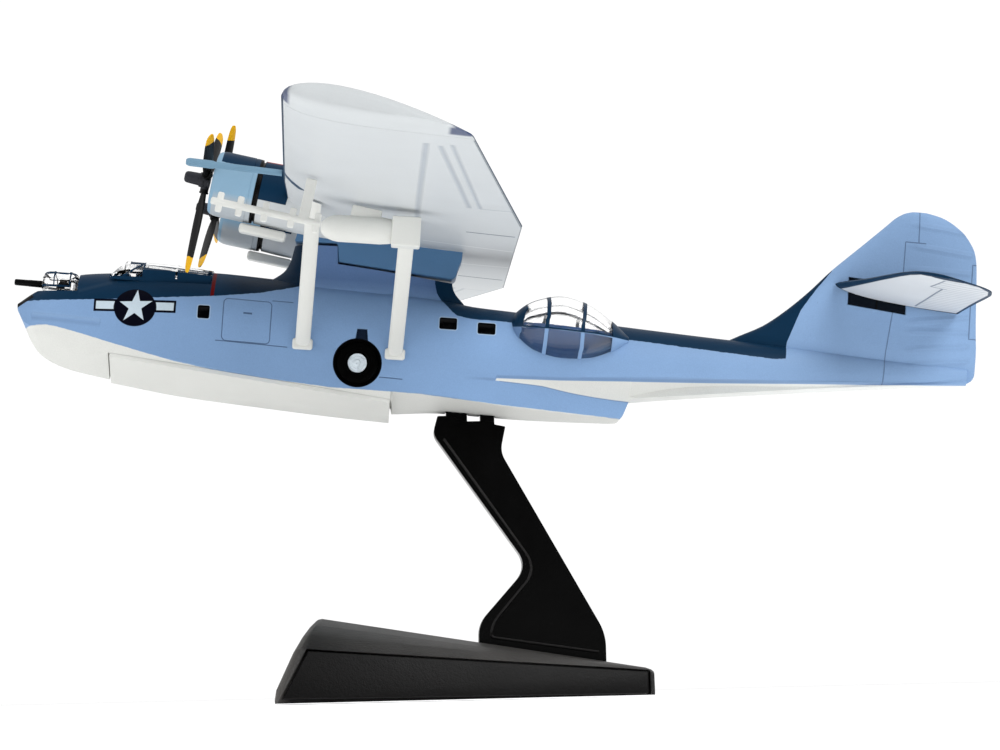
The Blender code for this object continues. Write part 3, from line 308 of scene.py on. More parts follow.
# Lines and ridges on the hull's sides and rudder: (start, end, width or strength)
PANEL_STROKES = (
    ((-31.0, 11.06), (-29.85, 11.02), 0.22), ((-27.3, 12.97), (-24.5, 12.9), 0.09),
    ((-34.5, 7.2), (-24.9, 6.8), 0.09), ((-12.5, 3.6), (-9.4, 3.5), 0.1))
BOW_RIDGES = (((-59.5, 9.5), (-50.0, 8.8), 1.0), ((-53.3, 12.65), (-48.2, 14.25), 0.3))
RUDDER_GAPS = (
    ((59.3, 31.3), (59.3, 27.05)), ((57.5, 27.05), (60.3, 26.95)), ((57.5, 27.0), (57.35, 21.5)),
    ((56.2, 17.4), (55.55, 12.0)), ((55.55, 12.0), (55.25, 7.4)), ((66.8, 14.4), (66.85, 24.5)),
    ((66.8, 24.5), (67.6, 24.5)), ((66.8, 14.4), (67.9, 14.4)))

# Ribs of the rudder: (height, slope)
RUDDER_RIBS = (
    (29.5, -0.1), (26.6, -0.1), (23.4, -0.02), (20.2, 0.06), (16.1, 0.14), (14.9, 0.04), (12.35, 0.115),
    (10.3, 0.11))

# Seams on the wing, as (start, end, width) with places as (aft, out)
WING_SEAMS = (
    ((17.5, 13.0), (17.7, 94.0), 0.6), ((19.3, 93.2), (23.8, 50.6), 0.5),
    ((20.6, 94.6), (25.15, 50.7), 0.4), ((25.1, 50.7), (29.3, 51.1), 0.4))

# Painted front and back edge of the stabilizer, as (distance out, share of the chord)
STAB_PAINT_EDGES = (
    ((0.0, 0.0), (12.0, 0.175), (20.0, 0.285), (24.0, 0.335), (27.0, 0.385), (29.2, 0.45), (31.0, 0.6)),
    ((0.0, 1.0), (12.0, 1.025), (24.0, 1.062), (27.0, 1.04), (29.2, 0.95), (31.0, 0.71)))

# Lamps: (name, place, size, power)
SOFTBOXES = (("key_softbox", (0.5, -0.55, 0.7), 0.6, 6.6), ("fill_softbox", (-0.85, -0.3, 0.3), 0.4, 2.2))

# Bench camera
CAMERA_SPOT = (-0.01157, -0.564, 0.0009)
CAMERA_LOOK = (0.03047, 1.0, 0.07558)
CAMERA_ROLL = math.radians(1.35)
CAMERA_LENS = 150.8
SENSOR_WIDTH = 36.0

# Sheen of the matt paints
MATT = {"Specular_IOR_Level": 0.06}


def tone(red, green, blue):
    """Paint colour from the values of a colour card."""
    scaled = [value / 255.0 for value in (red, green, blue)]
    return tuple(v / 12.92 if v <= 0.04045 else ((v + 0.055) / 1.055) ** 2.4 for v in scaled) + (1.0,)


SEA_BLUE = tone(11, 43, 68)
SKY_BLUE = tone(124, 155, 194)
COWL_BLUE = tone(132, 165, 189)
UNDER_WHITE = tone(212, 213, 209)
WING_WHITE = tone(194, 198, 200)
STAR_NAVY = tone(2, 3, 16)
STAR_WHITE = tone(189, 204, 214)
STRIPE_RED = tone(92, 3, 5)
PANE_BLACK = tone(2, 2, 3)
LINE_INK = tone(52, 68, 98)


def slopes(line):
    """Slope at each point, flat where the line turns, so a curve never passes its points."""
    steps = [(x1 - x0, (v1 - v0) / (x1 - x0)) for (x0, v0), (x1, v1) in zip(line, line[1:])]
    found = [steps[0][1]]
    for (gap0, rise0), (gap1, rise1) in zip(steps, steps[1:]):
        if rise0 * rise1 <= 0.0:
            found.append(0.0)
            continue
        weight0 = 2.0 * gap1 + gap0
        weight1 = gap1 + 2.0 * gap0
        found.append((weight0 + weight1) / (weight0 / rise0 + weight1 / rise1))
    return found + [steps[-1][1]]


def along(line, x):
    """Height at x of the smooth curve through a line's points, held flat past its ends."""
    if x <= line[0][0]:
        return line[0][1]
    if x >= line[-1][0]:
        return line[-1][1]
    slope = slopes(line)
    i = next(k for k in range(len(line) - 1) if x <= line[k + 1][0])
    (x0, v0), (x1, v1) = line[i], line[i + 1]
    span = x1 - x0
    t = (x - x0) / span
    ease = span * (t * (1.0 - t) ** 2 * slope[i] - t * t * (1.0 - t) * slope[i + 1])
    return v0 + (v1 - v0) * t * t * (3.0 - 2.0 * t) + ease


def along_broken(lines, x):
    for line in lines[:-1]:
        if x <= line[-1][0]:
            return along(line, x)
    return along(lines[-1], x)


def column(rows, index):
    return [(row[0], row[index]) for row in rows]


def spread(start, end, step):
    """Even stations from start to end, about a step apart."""
    count = max(1, round((end - start) / step))
    return [start + (end - start) * k / count for k in range(count + 1)]


def full_circle(count):
    return [2.0 * math.pi * i / count for i in range(count)]


def across(points):
    """The same points on the other side, from the last one back."""
    return [(x, -y, z) for x, y, z in reversed(points)]


# Modelling by hand

def let_go():
    if bpy.context.object is not None and bpy.context.object.mode != "OBJECT":
        bpy.ops.object.mode_set(mode="OBJECT")
    bpy.ops.object.select_all(action="DESELECT")


def hold(piece):
    let_go()
    piece.select_set(True)
    bpy.context.view_layer.objects.active = piece


def open_up():
    """Edit mode with everything selected."""
    bpy.ops.object.mode_set(mode="EDIT")
    bpy.ops.mesh.select_all(action="SELECT")


def close_up():
    """Turns all faces outwards and goes back to object mode."""
    bpy.ops.mesh.select_all(action="SELECT")
    bpy.ops.mesh.normals_make_consistent(inside=False)
    bpy.ops.object.mode_set(mode="OBJECT")


def started(name, add, **settings):
    """New primitive that has the name."""
    let_go()
    add(**settings)
    bpy.context.object.name = name
    return bpy.context.object


def skin(name, rings, axes):
    """Grid drawn over rings of points, its seam closed and its ends filled."""
    piece = started(name, bpy.ops.mesh.primitive_grid_add,
                    x_subdivisions=len(rings[0]), y_subdivisions=len(rings) - 1)
    spots = [axes @ Vector(spot) for ring in rings for spot in (*ring, ring[0])]
    for vertex, spot in zip(piece.data.vertices, spots):
        vertex.co = spot
    open_up()
    bpy.ops.mesh.remove_doubles(threshold=2e-7)
    bpy.ops.mesh.fill_holes(sides=0)
    bpy.ops.mesh.normals_make_consistent(inside=False)
    bpy.ops.object.mode_set(mode="OBJECT")
    return piece


def turned(name, profile, place, sides=48, ring=False):
    """Circle drawn out and resized from one (reach, radius) to the next; a ring ends where it began."""
    reach, radius = profile[0]
    piece = started(name, bpy.ops.mesh.primitive_circle_add, vertices=sides, radius=radius,
                    fill_type="NOTHING" if ring else "NGON")
    open_up()
    bpy.ops.transform.translate(value=(0.0, 0.0, reach))
    for (z0, r0), (z1, r1) in zip(profile, profile[1:]):
        bpy.ops.mesh.extrude_region_move(TRANSFORM_OT_translate={"value": (0.0, 0.0, z1 - z0)})
        bpy.ops.transform.resize(value=(r1 / r0, r1 / r0, 1.0), center_override=(0.0, 0.0, 0.0))
    bpy.ops.mesh.select_all(action="SELECT")
    bpy.ops.mesh.remove_doubles(threshold=1e-4)
    close_up()
    piece.data.transform(place)
    return piece


def aimed(axes, centre, axis="X", sign=1.0):
    """Place of a turned form: its reach runs along X, or out along Y on the given side."""
    if axis == "X":
        turn = Matrix.Rotation(0.5 * math.pi * sign, 4, "Y")
    else:
        turn = Matrix.Rotation(-0.5 * math.pi * sign, 4, "X")
    return axes @ Matrix.Translation(centre) @ turn


def block(name, size, centre, axes, edge=0.0, segments=2):
    """Cube resized to a block, its edges bevelled, then put in place."""
    piece = started(name, bpy.ops.mesh.primitive_cube_add, size=1.0)
    open_up()
    bpy.ops.transform.resize(value=size)
    if edge > 0.0:
        bpy.ops.mesh.bevel(offset=edge, segments=segments, affect="EDGES")
    bpy.ops.object.mode_set(mode="OBJECT")
    piece.data.transform(axes @ Matrix.Translation(centre))
    return piece


def plank(name, outline, y0, y1, axes):
    """Outline of (x, z) points drawn out across from y0 to y1."""
    return skin(name, [[(x, y, z) for x, z in outline] for y in (y0, y1)], axes)


def bead(name, path, y, radius, axes):
    """Rounded bead laid along a path of (x, z) points on a flat side."""
    rings = []
    for k, (x, z) in enumerate(path):
        run = (path[min(len(path) - 1, k + 1)] - path[max(0, k - 1)]).normalized()
        turns = [(radius * math.cos(angle), radius * math.sin(angle)) for angle in full_circle(10)]
        rings.append([(x - run.y * across, y + out, z + run.x * across) for across, out in turns])
    return skin(name, rings, axes)


def carve(piece, tool, operation="DIFFERENCE", lining=None):
    """Takes the tool out of a piece, or adds it; a lining paints the cut faces."""
    if lining is not None:
        tool.data.materials.append(lining)
    hold(piece)
    step = piece.modifiers.new(operation.lower(), "BOOLEAN")
    step.operation = operation
    step.object = tool
    step.solver = "EXACT"
    if lining is not None:
        step.material_mode = "TRANSFER"
    bpy.ops.object.modifier_apply(modifier=step.name)
    bpy.data.objects.remove(tool)


def soften(piece, width, segments=2, angle=40.0):
    """Rounds off the edges that turn by more than the angle."""
    hold(piece)
    step = piece.modifiers.new("soften", "BEVEL")
    step.width = width * MM
    step.segments = segments
    step.limit_method = "ANGLE"
    step.angle_limit = math.radians(angle)
    bpy.ops.object.modifier_apply(modifier=step.name)


def join(piece, others):
    hold(piece)
    for other in others:
        other.select_set(True)
    bpy.ops.object.join()
    return piece


def copied(piece, name, move):
    """Copy with its own mesh, moved."""
    made = piece.copy()
    made.data = piece.data.copy()
    made.name = name
    bpy.context.scene.collection.objects.link(made)
    made.data.transform(move)
    return made


def outside(core, stretch, keep, lowest=-math.inf):
    """Test for faces that look away from a core, not down past the lowest, and that keep accepts."""
    to_craft = CRAFT.inverted()

    def wanted(face):
        spot = to_craft @ face.center
        facing = to_craft.to_3x3() @ face.normal
        away = Vector([share * (at - middle) for share, at, middle in zip(stretch, spot, core)])
        return facing.dot(away) > 0.0 and facing.z >= lowest and keep(spot)
    return wanted


def raise_faces(piece, wanted, height, paint):
    """Lifts the chosen faces along their normals and gives them their own paint."""
    piece.data.materials.append(paint)
    chosen = [face.index for face in piece.data.polygons if wanted(face)]
    hold(piece)
    bpy.ops.object.mode_set(mode="EDIT")
    bpy.ops.mesh.select_mode(type="FACE")
    bpy.ops.mesh.select_all(action="DESELECT")
    bpy.ops.object.mode_set(mode="OBJECT")
    for index in chosen:
        piece.data.polygons[index].select = True
    piece.active_material_index = len(piece.data.materials) - 1
    bpy.ops.object.mode_set(mode="EDIT")
    bpy.ops.mesh.extrude_region_shrink_fatten(TRANSFORM_OT_shrink_fatten={"value": height * MM})
    bpy.ops.mesh.select_more()
    bpy.ops.object.material_slot_assign()
    bpy.ops.mesh.select_mode(type="VERT")
    close_up()


def score(piece, cuts):
    """Cuts clean edges round a piece with planes, each a (point, normal) in the craft's axes."""
    hold(piece)
    turn = CRAFT.to_3x3().normalized()
    bpy.ops.object.mode_set(mode="EDIT")
    for point, normal in cuts:
        bpy.ops.mesh.select_all(action="SELECT")
        bpy.ops.mesh.bisect(plane_co=CRAFT @ Vector(point), plane_no=turn @ Vector(normal))
    bpy.ops.object.mode_set(mode="OBJECT")


def dress(piece, paint, nodes=(), body="model", angle=32.0):
    """Finishes a piece: smooth shading, its paint, the body it rides on and what it stands for."""
    hold(piece)
    bpy.ops.object.shade_smooth_by_angle(angle=math.radians(angle))
    if len(piece.data.materials) == 0:
        piece.data.materials.append(paint)
    piece.data.materials[0] = paint
    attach(piece, body)
    if nodes:
        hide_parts(*nodes)


# Paints and plastics

class Wire:
    """An output in a node tree; arithmetic on it adds Math nodes."""

    def __init__(self, nodes, socket):
        self.nodes = nodes
        self.socket = socket

    def combine(self, operation, *values, clamp=False):
        settings = {"operation": operation, "use_clamp": clamp}
        return self.nodes.node("Math", settings, dict(enumerate((self, *values))))

    __add__ = __radd__ = partialmethod(combine, "ADD")
    __sub__ = partialmethod(combine, "SUBTRACT")
    __mul__ = __rmul__ = __and__ = partialmethod(combine, "MULTIPLY")
    __truediv__ = partialmethod(combine, "DIVIDE")
    __or__ = partialmethod(combine, "MAXIMUM")
    __abs__ = partialmethod(combine, "ABSOLUTE")
    least = partialmethod(combine, "MINIMUM")

    def __rsub__(self, other):
        return self.nodes.node("Math", {"operation": "SUBTRACT"}, {0: other, 1: self})

    def far(self, other):
        """Distance made up of this and another distance at right angles."""
        return (self.combine("POWER", 2.0) + other.combine("POWER", 2.0)).combine("SQRT")

    def over(self, level, soft=0.06):
        """1 where this is more than the level, with a soft edge."""
        return ((self - level) / soft).combine("ADD", 0.5, clamp=True)

    def under(self, level, soft=0.06):
        return 1.0 - self.over(level, soft)

    def between(self, low, high, soft=0.06):
        return self.over(low, soft) & self.under(high, soft)


class Nodes:
    """Adds and wires the nodes of one tree."""

    def __init__(self, tree):
        self.tree = tree

    def node(self, kind, settings=None, inputs=None, output=0):
        made = self.tree.nodes.new("ShaderNode" + kind)
        for name, value in (settings or {}).items():
            setattr(made, name, value)
        for key, value in (inputs or {}).items():
            self.feed(made.inputs[key], value)
        return Wire(self, made.outputs[output])

    def feed(self, socket, value):
        if isinstance(value, Wire):
            self.tree.links.new(value.socket, socket)
        else:
            socket.default_value = value

    def split(self, vector):
        return [self.node("SeparateXYZ", None, {0: vector}, axis) for axis in range(3)]


class Paint(Nodes):
    """A material whose colour, roughness and bump are worked out from where a point lies."""

    def __init__(self, name, place=STAND_PLACE, **fixed):
        self.material = bpy.data.materials.new(name)
        self.material.use_nodes = True
        super().__init__(self.material.node_tree)
        self.set(**fixed)
        location, pitch = place
        spot = self.node("TexCoord", output="Object")
        self.spot = self.node("Mapping", {"vector_type": "TEXTURE"}, {
            "Vector": spot, "Location": location, "Rotation": (0.0, pitch, 0.0), "Scale": (MM, MM, MM)})
        self.x, self.y, self.z = self.split(self.spot)

    def set(self, **values):
        """Feeds the shader's sockets, named with underscores for spaces."""
        sockets = self.tree.nodes["Principled BSDF"].inputs
        for name, value in values.items():
            self.feed(sockets[name.replace("_", " ")], value)

    def edge(self, at, line):
        """Value at a place of the straight-sided line through the points."""
        return sum(self.node("MapRange", None, {0: at, 1: x0, 2: x1, 4: v1 - v0})
                   for (x0, v0), (x1, v1) in zip(line, line[1:])) + line[0][1]

    def noise(self, scale, detail=3.0, roughness=0.55, stretch=None):
        """Cloudy pattern from 0 to 1; the scale is in lumps for each millimetre."""
        spot = self.spot
        if stretch:
            spot = self.node("VectorMath", {"operation": "MULTIPLY"}, {0: spot, 1: stretch})
        inputs = {"Vector": spot, "Scale": scale, "Detail": detail, "Roughness": roughness}
        return self.node("TexNoise", None, inputs, "Fac")

    def mix(self, mask, low, high):
        return self.node("Mix", {"data_type": "RGBA"}, {0: mask, 6: low, 7: high}, 2)

    def coat(self, mask, colour):
        """Lays another colour over the one so far where the mask is 1."""
        self.colour = self.mix(mask, self.colour, colour)

    def stroke(self, u, v, start, end, width, soft=0.05):
        """1 on a straight stroke between two places."""
        run = Vector(end) - Vector(start)
        length = run.length
        run = run / length
        ahead = (u - start[0]) * run.x + (v - start[1]) * run.y
        aside = (v - start[1]) * run.x - (u - start[0]) * run.y
        return ahead.between(0.0, length, 0.04) & abs(aside).under(0.5 * width, soft)

    def strokes(self, u, v, rows, soft=0.05):
        """1 on any of the strokes, each a (start, end, width)."""
        return reduce(or_, (self.stroke(u, v, *row, soft) for row in rows))

    def box_distance(self, u, v, low, high, corner):
        """Distance outwards from a box with rounded corners."""
        out_u, out_v = (abs(at - 0.5 * (low[k] + high[k])) - (0.5 * (high[k] - low[k]) - corner)
                        for k, at in enumerate((u, v)))
        return (out_u | 0.0).far(out_v | 0.0) + (out_u | out_v).least(0.0) - corner

    def finish(self, roughness, grain=0.06, bump=0.0, worn=None, relief=1.0):
        """Cloudy tint, fine grain in colour, gloss and height, then the sockets."""
        cloud = self.noise(0.18, 4.0)
        fine = self.noise(6.0, 2.0, 0.7)
        shade = 1.0 + (cloud - 0.5) * 0.1 + (fine - 0.5) * grain
        plain = self.colour if isinstance(self.colour, Wire) else self.colour[:3]
        tinted = self.node("VectorMath", {"operation": "SCALE"}, {0: plain, 3: shade})
        if worn is not None:
            tinted = self.mix(worn[0], tinted, worn[1])
        gloss = (fine - 0.5 + cloud - 0.5) * 0.12 + roughness
        height = fine * (0.012 * relief) + self.noise(1.6) * (0.02 * relief) + bump
        raised = self.node("Bump", None, {"Strength": 1.0, "Distance": MM, "Height": height})
        self.set(Base_Color=tinted, Roughness=gloss, Normal=raised)
        return self.material

    def specks(self, amount=0.735):
        """Sparse dust and chips left in the paint."""
        return self.noise(1.9, 6.0, 0.75).over(amount, 0.02)


def craft_scheme():
    """Three tones over the hull and fin with the star, stripe, panes and panel lines, and painted light and
    shade.
    """
    paint = Paint("sea_blue_scheme", CRAFT_PLACE, **MATT)
    x, y, z = paint.x, paint.y, paint.z
    wobble = (paint.noise(1.2) - 0.5) * 0.25
    dark = (z + wobble).over(paint.edge(x, DARK_EDGE))
    low = (z + wobble * 0.5).under(paint.edge(x, WHITE_EDGE))
    wedge = z.under(paint.edge(x, WEDGE_TOP)) & z.over(paint.edge(x, WEDGE_FOOT)) & x.over(2.9)
    # Painted light: the sky blue is painted lighter towards the tail.
    paint.colour = paint.mix(x.over(26.0, 34.0), SKY_BLUE, tone(131, 161, 199))
    paint.coat(dark, SEA_BLUE)
    # Painted shade: the sea blue deck is painted darker just ahead of the pylon.
    paint.coat((dark & x.between(-33.0, -22.5, 3.0)) * 0.6, tone(2, 22, 40))
    # Painted light: the white below is painted lighter towards the tail.
    paint.coat(low | wedge, paint.mix(x.over(34.0, 24.0), UNDER_WHITE, tone(221, 223, 221)))
    # Painted shadow of the wing: the sky blue sides under the wing and round the pylon are painted darker.
    painted_wing_shadow = z.over(15.6, 2.4) & x.between(-23.4, -4.6, 0.6) & z.under(22.0)
    paint.coat(painted_wing_shadow * 0.75 & (1.0 - dark), tone(78, 104, 148))
    stripe = (x - (z - 13.2) * 0.03).between(-35.6, -35.13)
    paint.coat(stripe & dark & x.under(-30.0), STRIPE_RED)
    paint.coat(paint.stroke(x, z, (-62.2, 10.75), (-59.7, 12.35), 0.85), PANE_BLACK)
    sides = abs(y).over(3.0)
    star_and_bars(paint, sides)
    panes = []
    for corners in PANES:
        rim = paint.box_distance(x, z, *corners, 0.25)
        paint.coat(rim.under(0.12, 0.05) & sides & 0.45, STAR_WHITE)
        panes.append(rim.under(0.0))
    panes = reduce(or_, panes)
    paint.coat(panes & sides, PANE_BLACK)
    lean = z + (x + 30.5) * 0.03
    hatch = abs(paint.box_distance(x, lean, (-33.7, 7.15), (-27.3, 12.85), 0.6)).under(0.05, 0.05)
    lines = (hatch | paint.strokes(x, z, PANEL_STROKES)) & sides
    gaps = paint.strokes(x, z, [(start, end, 0.13) for start, end in RUDDER_GAPS])
    gaps = gaps & abs(y).under(4.0) & x.over(50.0)
    paint.coat(lines * 0.75 | gaps * 0.5, LINE_INK)
    well = (x - WHEEL_CENTRE[0]).far(z - WHEEL_CENTRE[1]).under(TYRE_RADIUS + GAP + 0.1)
    slot = z.between(WHEEL_CENTRE[1], 9.85) & abs(x + 15.12).under(0.66 + (9.9 - z) * 0.12)
    socket = z.between(0.4, 2.6) & abs(y).under(2.2) & x.between(-3.8, 4.0)
    paint.coat(slot & abs(y).over(9.0), tone(18, 32, 52))
    paint.coat(well & abs(y).over(8.0), PANE_BLACK)
    # Painted shade: the peg sockets' inner walls are painted black.
    paint.coat(socket, PANE_BLACK)
    # Painted shadow: a thin dark line along the wedge's foot, and a soft dark band just above its top under
    # the hull's overhang.
    painted_foot_shadow = (paint.edge(x, WEDGE_FOOT) - z).between(-0.02, 0.1) & x.between(3.5, 21.0)
    painted_overhang_shadow = (z - paint.edge(x, WEDGE_TOP)).between(0.05, 0.4, 0.2) & x.between(0.0, 64.0, 3.0)
    paint.coat((painted_foot_shadow * 0.35 | painted_overhang_shadow * 0.22) & abs(y).over(0.8), LINE_INK)
    crests = []
    for start, end, strength in BOW_RIDGES:
        crests.append(paint.stroke(x, z, start, end, 0.5, 0.5) * strength)
        # Painted highlight just above each ridge and painted shade just below it.
        for lift, share, colour in ((0.3, 0.07, STAR_WHITE), (-0.35, 0.2, LINE_INK)):
            beside = paint.stroke(x, z - lift, start, end, 0.3, 0.5)
            paint.coat(beside * (share * strength), colour)
    ribs = sum(1.0 - (abs(z - height - (x - 58.0) * rise) / 0.6).least(1.0) for height, rise in RUDDER_RIBS)
    ribs = ribs & x.over(58.6, 2.4) & x.under(66.9, 0.8) & abs(y).under(2.0)
    # Painted shade on the flanks of the rudder's ribs.
    paint.coat(ribs.between(0.3, 0.9, 0.4) * 0.07, LINE_INK)
    relief = ribs * 0.09 + reduce(or_, crests) * 0.1 - (lines | gaps) * 0.06
    worn = (paint.specks(0.72), tone(70, 84, 108))
    return paint.finish(0.42 - panes * 0.3, 0.2, relief, worn)


def star_and_bars(paint, sides):
    """Old style of star in a disc between two bars."""
    x, z = paint.x, paint.z
    u = (x + 45.49) / 2.8
    v = (z - 10.97 - (x + 45.49) * 0.019) / 2.52
    away = u.far(v)
    disc = away.under(1.0, 0.03)
    across = (x + 45.45 - (z - 11.1) * 0.07) / 2.36
    upward = (z - 11.13 - (x + 45.45) * 0.06) / 2.36
    angles = [math.radians(90.0 + 72.0 * k) for k in range(5)]
    reach = -math.cos(math.radians(72.0))
    inside = sum((across * -math.cos(a) + upward * -math.sin(a)).over(reach, 0.03) for a in angles)
    star = inside.over(3.75, 0.5) & disc
    wide = abs(x + 45.54)
    tall = abs(z - 11.24 - (x + 45.49) * 0.02)
    bars = wide.between(2.6, 5.22) & tall.under(0.53) & away.over(1.03, 0.03)
    paint.coat(((wide.under(5.52) & tall.under(0.84)) | disc) & sides, STAR_NAVY)
    paint.coat((bars | star) & sides, STAR_WHITE)


def shaft_distance(paint):
    """Distance sideways from the nearer engine's middle, and from its shaft."""
    beside = abs(abs(paint.y) - ENGINE_Y)
    return beside, beside.far(paint.z - THRUST_Z)


def wing_scheme():
    """Sea blue above and white below, with the nacelles and the block on the pylon, the block darkened as
    painted shade.
    """
    paint = Paint("wing_scheme", WING_PLACE, **MATT)
    x, z = paint.x, paint.z
    out = abs(paint.y)
    level = z - paint.edge(out, ((KINK_Y, 0.0), (TIP_Y, TIP_RISE)))
    lead = paint.edge(out, ((KINK_Y, 0.0), (TIP_Y, TIP_SWEEP)))
    nose = paint.edge(x - lead, ((0.0, -1.8), (0.28, -1.8), (0.45, -0.1), (18.0, 0.0), (26.0, -0.05)))
    above = level.over(nose) & out.under(102.6, 0.1)
    tail = paint.edge(out, ((KINK_Y, CHORD_ROOT), (TIP_Y, CHORD_TIP)))
    trail = (x - lead).over(tail - 0.13) & out.under(99.0)
    paint.colour = WING_WHITE
    paint.coat(above | trail * 0.55, SEA_BLUE)
    corner = out.between(101.3, 104.6, 0.8) & (x.under(1.9, 0.5) | x.over(20.1, 0.5))
    paint.coat(corner * 0.85, tone(40, 56, 96))
    foot = [(t * CHORD_ROOT, foil(t)[1] * CHORD_ROOT - 0.05) for t in (0.0, 0.02, 0.08, 0.2, 0.4, 0.7, 1.0)]
    pylon = out.under(PYLON_HALF_WIDTH + 0.1) & z.under(paint.edge(x, foot))
    # Painted shade: the block on the pylon is painted a darker blue for the wing's shadow over it.
    paint.coat(pylon, tone(78, 114, 150))
    beside, around = shaft_distance(paint)
    nacelle = around.under(4.5) & x.under(0.1 + (z + 1.0) * -0.25)
    paint.coat(nacelle & z.over(-1.75), SEA_BLUE)
    # Painted shade: the nacelle's front face inside the cowl gap is painted black.
    paint.coat(around.under(4.6) & x.under(-3.42), PANE_BLACK)
    paint.coat(beside.under(1.3) & z.over(3.2) & x.between(-3.35, 1.4), tone(150, 20, 16))
    # Two dark strokes under the wing: one from the leading edge towards the front strut, one chordwise
    # further out.
    dark_strokes = paint.strokes(x, out, (((-0.3, 46.6), (2.9, 41.3), 1.3), ((24.0, 28.1), (30.3, 28.1), 0.6)))
    paint.coat(dark_strokes & level.under(0.3), tone(40, 66, 92))
    # Painted highlight: a pale stroke along a fold in the wing's underside near the root.
    painted_crease_highlight = paint.stroke(x, out, (18.6, 12.5), (30.6, 10.2), 0.5, 0.3)
    paint.coat(painted_crease_highlight * 0.7 & (1.0 - above), tone(236, 238, 238))
    lines = paint.strokes(x, out, WING_SEAMS, 0.35) & (1.0 - pylon) & around.over(4.8)
    paint.coat(lines * 0.5, paint.mix(above, tone(138, 148, 160), tone(5, 24, 40)))
    return paint.finish(0.4, bump=lines * -0.1, worn=(paint.specks(0.76), tone(150, 156, 160)))


def stabilizer_scheme():
    """White under, sea blue over and round the edge, with the elevator's hinge and ribs."""
    paint = Paint("stabilizer_scheme", CRAFT_PLACE, **MATT)
    x, z = paint.x, paint.z
    out = abs(paint.y)
    lead, tail = Vector(STAB_ROOT_LE), Vector(STAB_ROOT_TE)
    full = (tail - lead).length
    chord = (tail - lead).normalized()
    run = (x - lead.x) * chord.x + (z - lead.y) * chord.y
    rise = (z - lead.y) * chord.x - (x - lead.x) * chord.y
    level = rise - paint.edge(out, ((0.0, 0.0), (12.0, 0.25), (20.0, 0.45), (27.0, 0.55), (31.0, 0.6)))
    above = level.over(-0.06, 0.04)
    front, back = (paint.edge(out, [(y, share * full) for y, share in rows]) for rows in STAB_PAINT_EDGES)
    rim = (run - front).under(0.5) | (back - run).under(0.42) | out.over(30.05)
    paint.colour = tone(203, 207, 211)
    paint.coat(above | rim, SEA_BLUE)
    axis = paint.edge(out, ((3.8, 11.1), (22.9, 12.0), (23.0, 10.4), (31.0, 11.6)))
    hinge = abs(run - axis).under(0.13) & out.between(3.0, 29.5)
    jog = out.between(22.75, 23.15) & run.between(10.4, 12.6)
    ribs = (out * (2.0 * math.pi / 1.6)).combine("SINE").over(0.6, 0.6) & run.over(axis + 0.1)
    paint.coat((hinge | jog) * 0.75 | ribs * 0.3, paint.mix(above, tone(90, 104, 122), tone(6, 28, 46)))
    root = out.under(1.75)
    split = abs(x - 53.95).under(0.1) & root
    paint.coat(root, tone(5, 12, 22))
    paint.coat(split, PANE_BLACK)
    relief = (hinge | jog | split) * -0.06 - ribs * 0.03
    return paint.finish(0.42, bump=relief, worn=(paint.specks(0.76), tone(150, 156, 160)))


def cowl_scheme():
    """Sky blue cowl with a sea blue panel on top and white below, the white greyed and the inside and back
    rim darkened as painted shade.
    """
    paint = Paint("cowl_scheme", WING_PLACE, Specular_IOR_Level=0.08)
    x = paint.x
    ragged = paint.z + (paint.noise(1.5) - 0.5) * 0.3
    paint.colour = COWL_BLUE
    paint.coat(ragged.over(2.1) & x.over(-9.1), SEA_BLUE)
    # White below, a real paint, painted greyer as painted shade.
    paint.coat(ragged.under(-2.4, 1.2) & x.over(-9.3), tone(168, 175, 180))
    # Painted shade inside the cowl ring, in dark grey.
    paint.coat(shaft_distance(paint)[1].under(COWL_RADIUS - 0.42) & x.over(-9.2), tone(46, 52, 60))
    # Painted shade: the cowl's rear rim at the gap is painted black.
    paint.coat(x.over(-4.14), PANE_BLACK)
    return paint.finish(0.38, worn=(paint.specks(), tone(80, 96, 120)))


def plain_paint(name, colour, roughness=0.42):
    paint = Paint(name, CRAFT_PLACE, **MATT)
    paint.colour = colour
    return paint.finish(roughness, worn=(paint.specks(0.76), tone(120, 126, 134)))


def frame_scheme():
    """Painted frames of the blisters: sea blue above the rail and sky blue below it."""
    paint = Paint("blister_frame_paint", CRAFT_PLACE, Specular_IOR_Level=0.12)
    paint.colour = SKY_BLUE
    paint.coat((paint.x - paint.z * 0.2).under(3.85, 0.3) * 0.6, tone(72, 98, 134))
    rail = paint.edge(paint.x, [(x, z - RAIL_HALF) for x, z in BLISTER_RAIL])
    paint.coat(paint.z.over(rail), SEA_BLUE)
    return paint.finish(0.35)


def prop_scheme():
    """Black blades with yellow tips, and a dark grey hub."""
    paint = Paint("propeller_paint", WING_PLACE, Specular_IOR_Level=0.12)
    around = shaft_distance(paint)[1]
    ragged = around + (paint.noise(1.5) - 0.5) * 0.4
    paint.colour = tone(14, 14, 15)
    paint.coat(ragged.over(PROP_RADIUS - TIP_LENGTH), tone(226, 172, 20))
    paint.coat(around.under(1.25), tone(44, 45, 50))
    return paint.finish(0.38, worn=(paint.specks(0.74), tone(60, 60, 62)))


def engine_scheme():
    """Dark metal cylinders round a grey nose case, with dark blotches."""
    paint = Paint("engine_metal_finish", WING_PLACE, Metallic=0.75)
    paint.colour = tone(96, 100, 108)
    paint.coat(shaft_distance(paint)[1].over(1.75), tone(58, 58, 60))
    # Painted shade: the engine's back behind the cowl gap is painted black.
    paint.coat(paint.x.over(COWL_BACK - 0.12), PANE_BLACK)
    paint.coat(paint.noise(0.9, 5.0).over(0.52, 0.3) * 0.6, tone(22, 21, 20))
    return paint.finish(0.4)


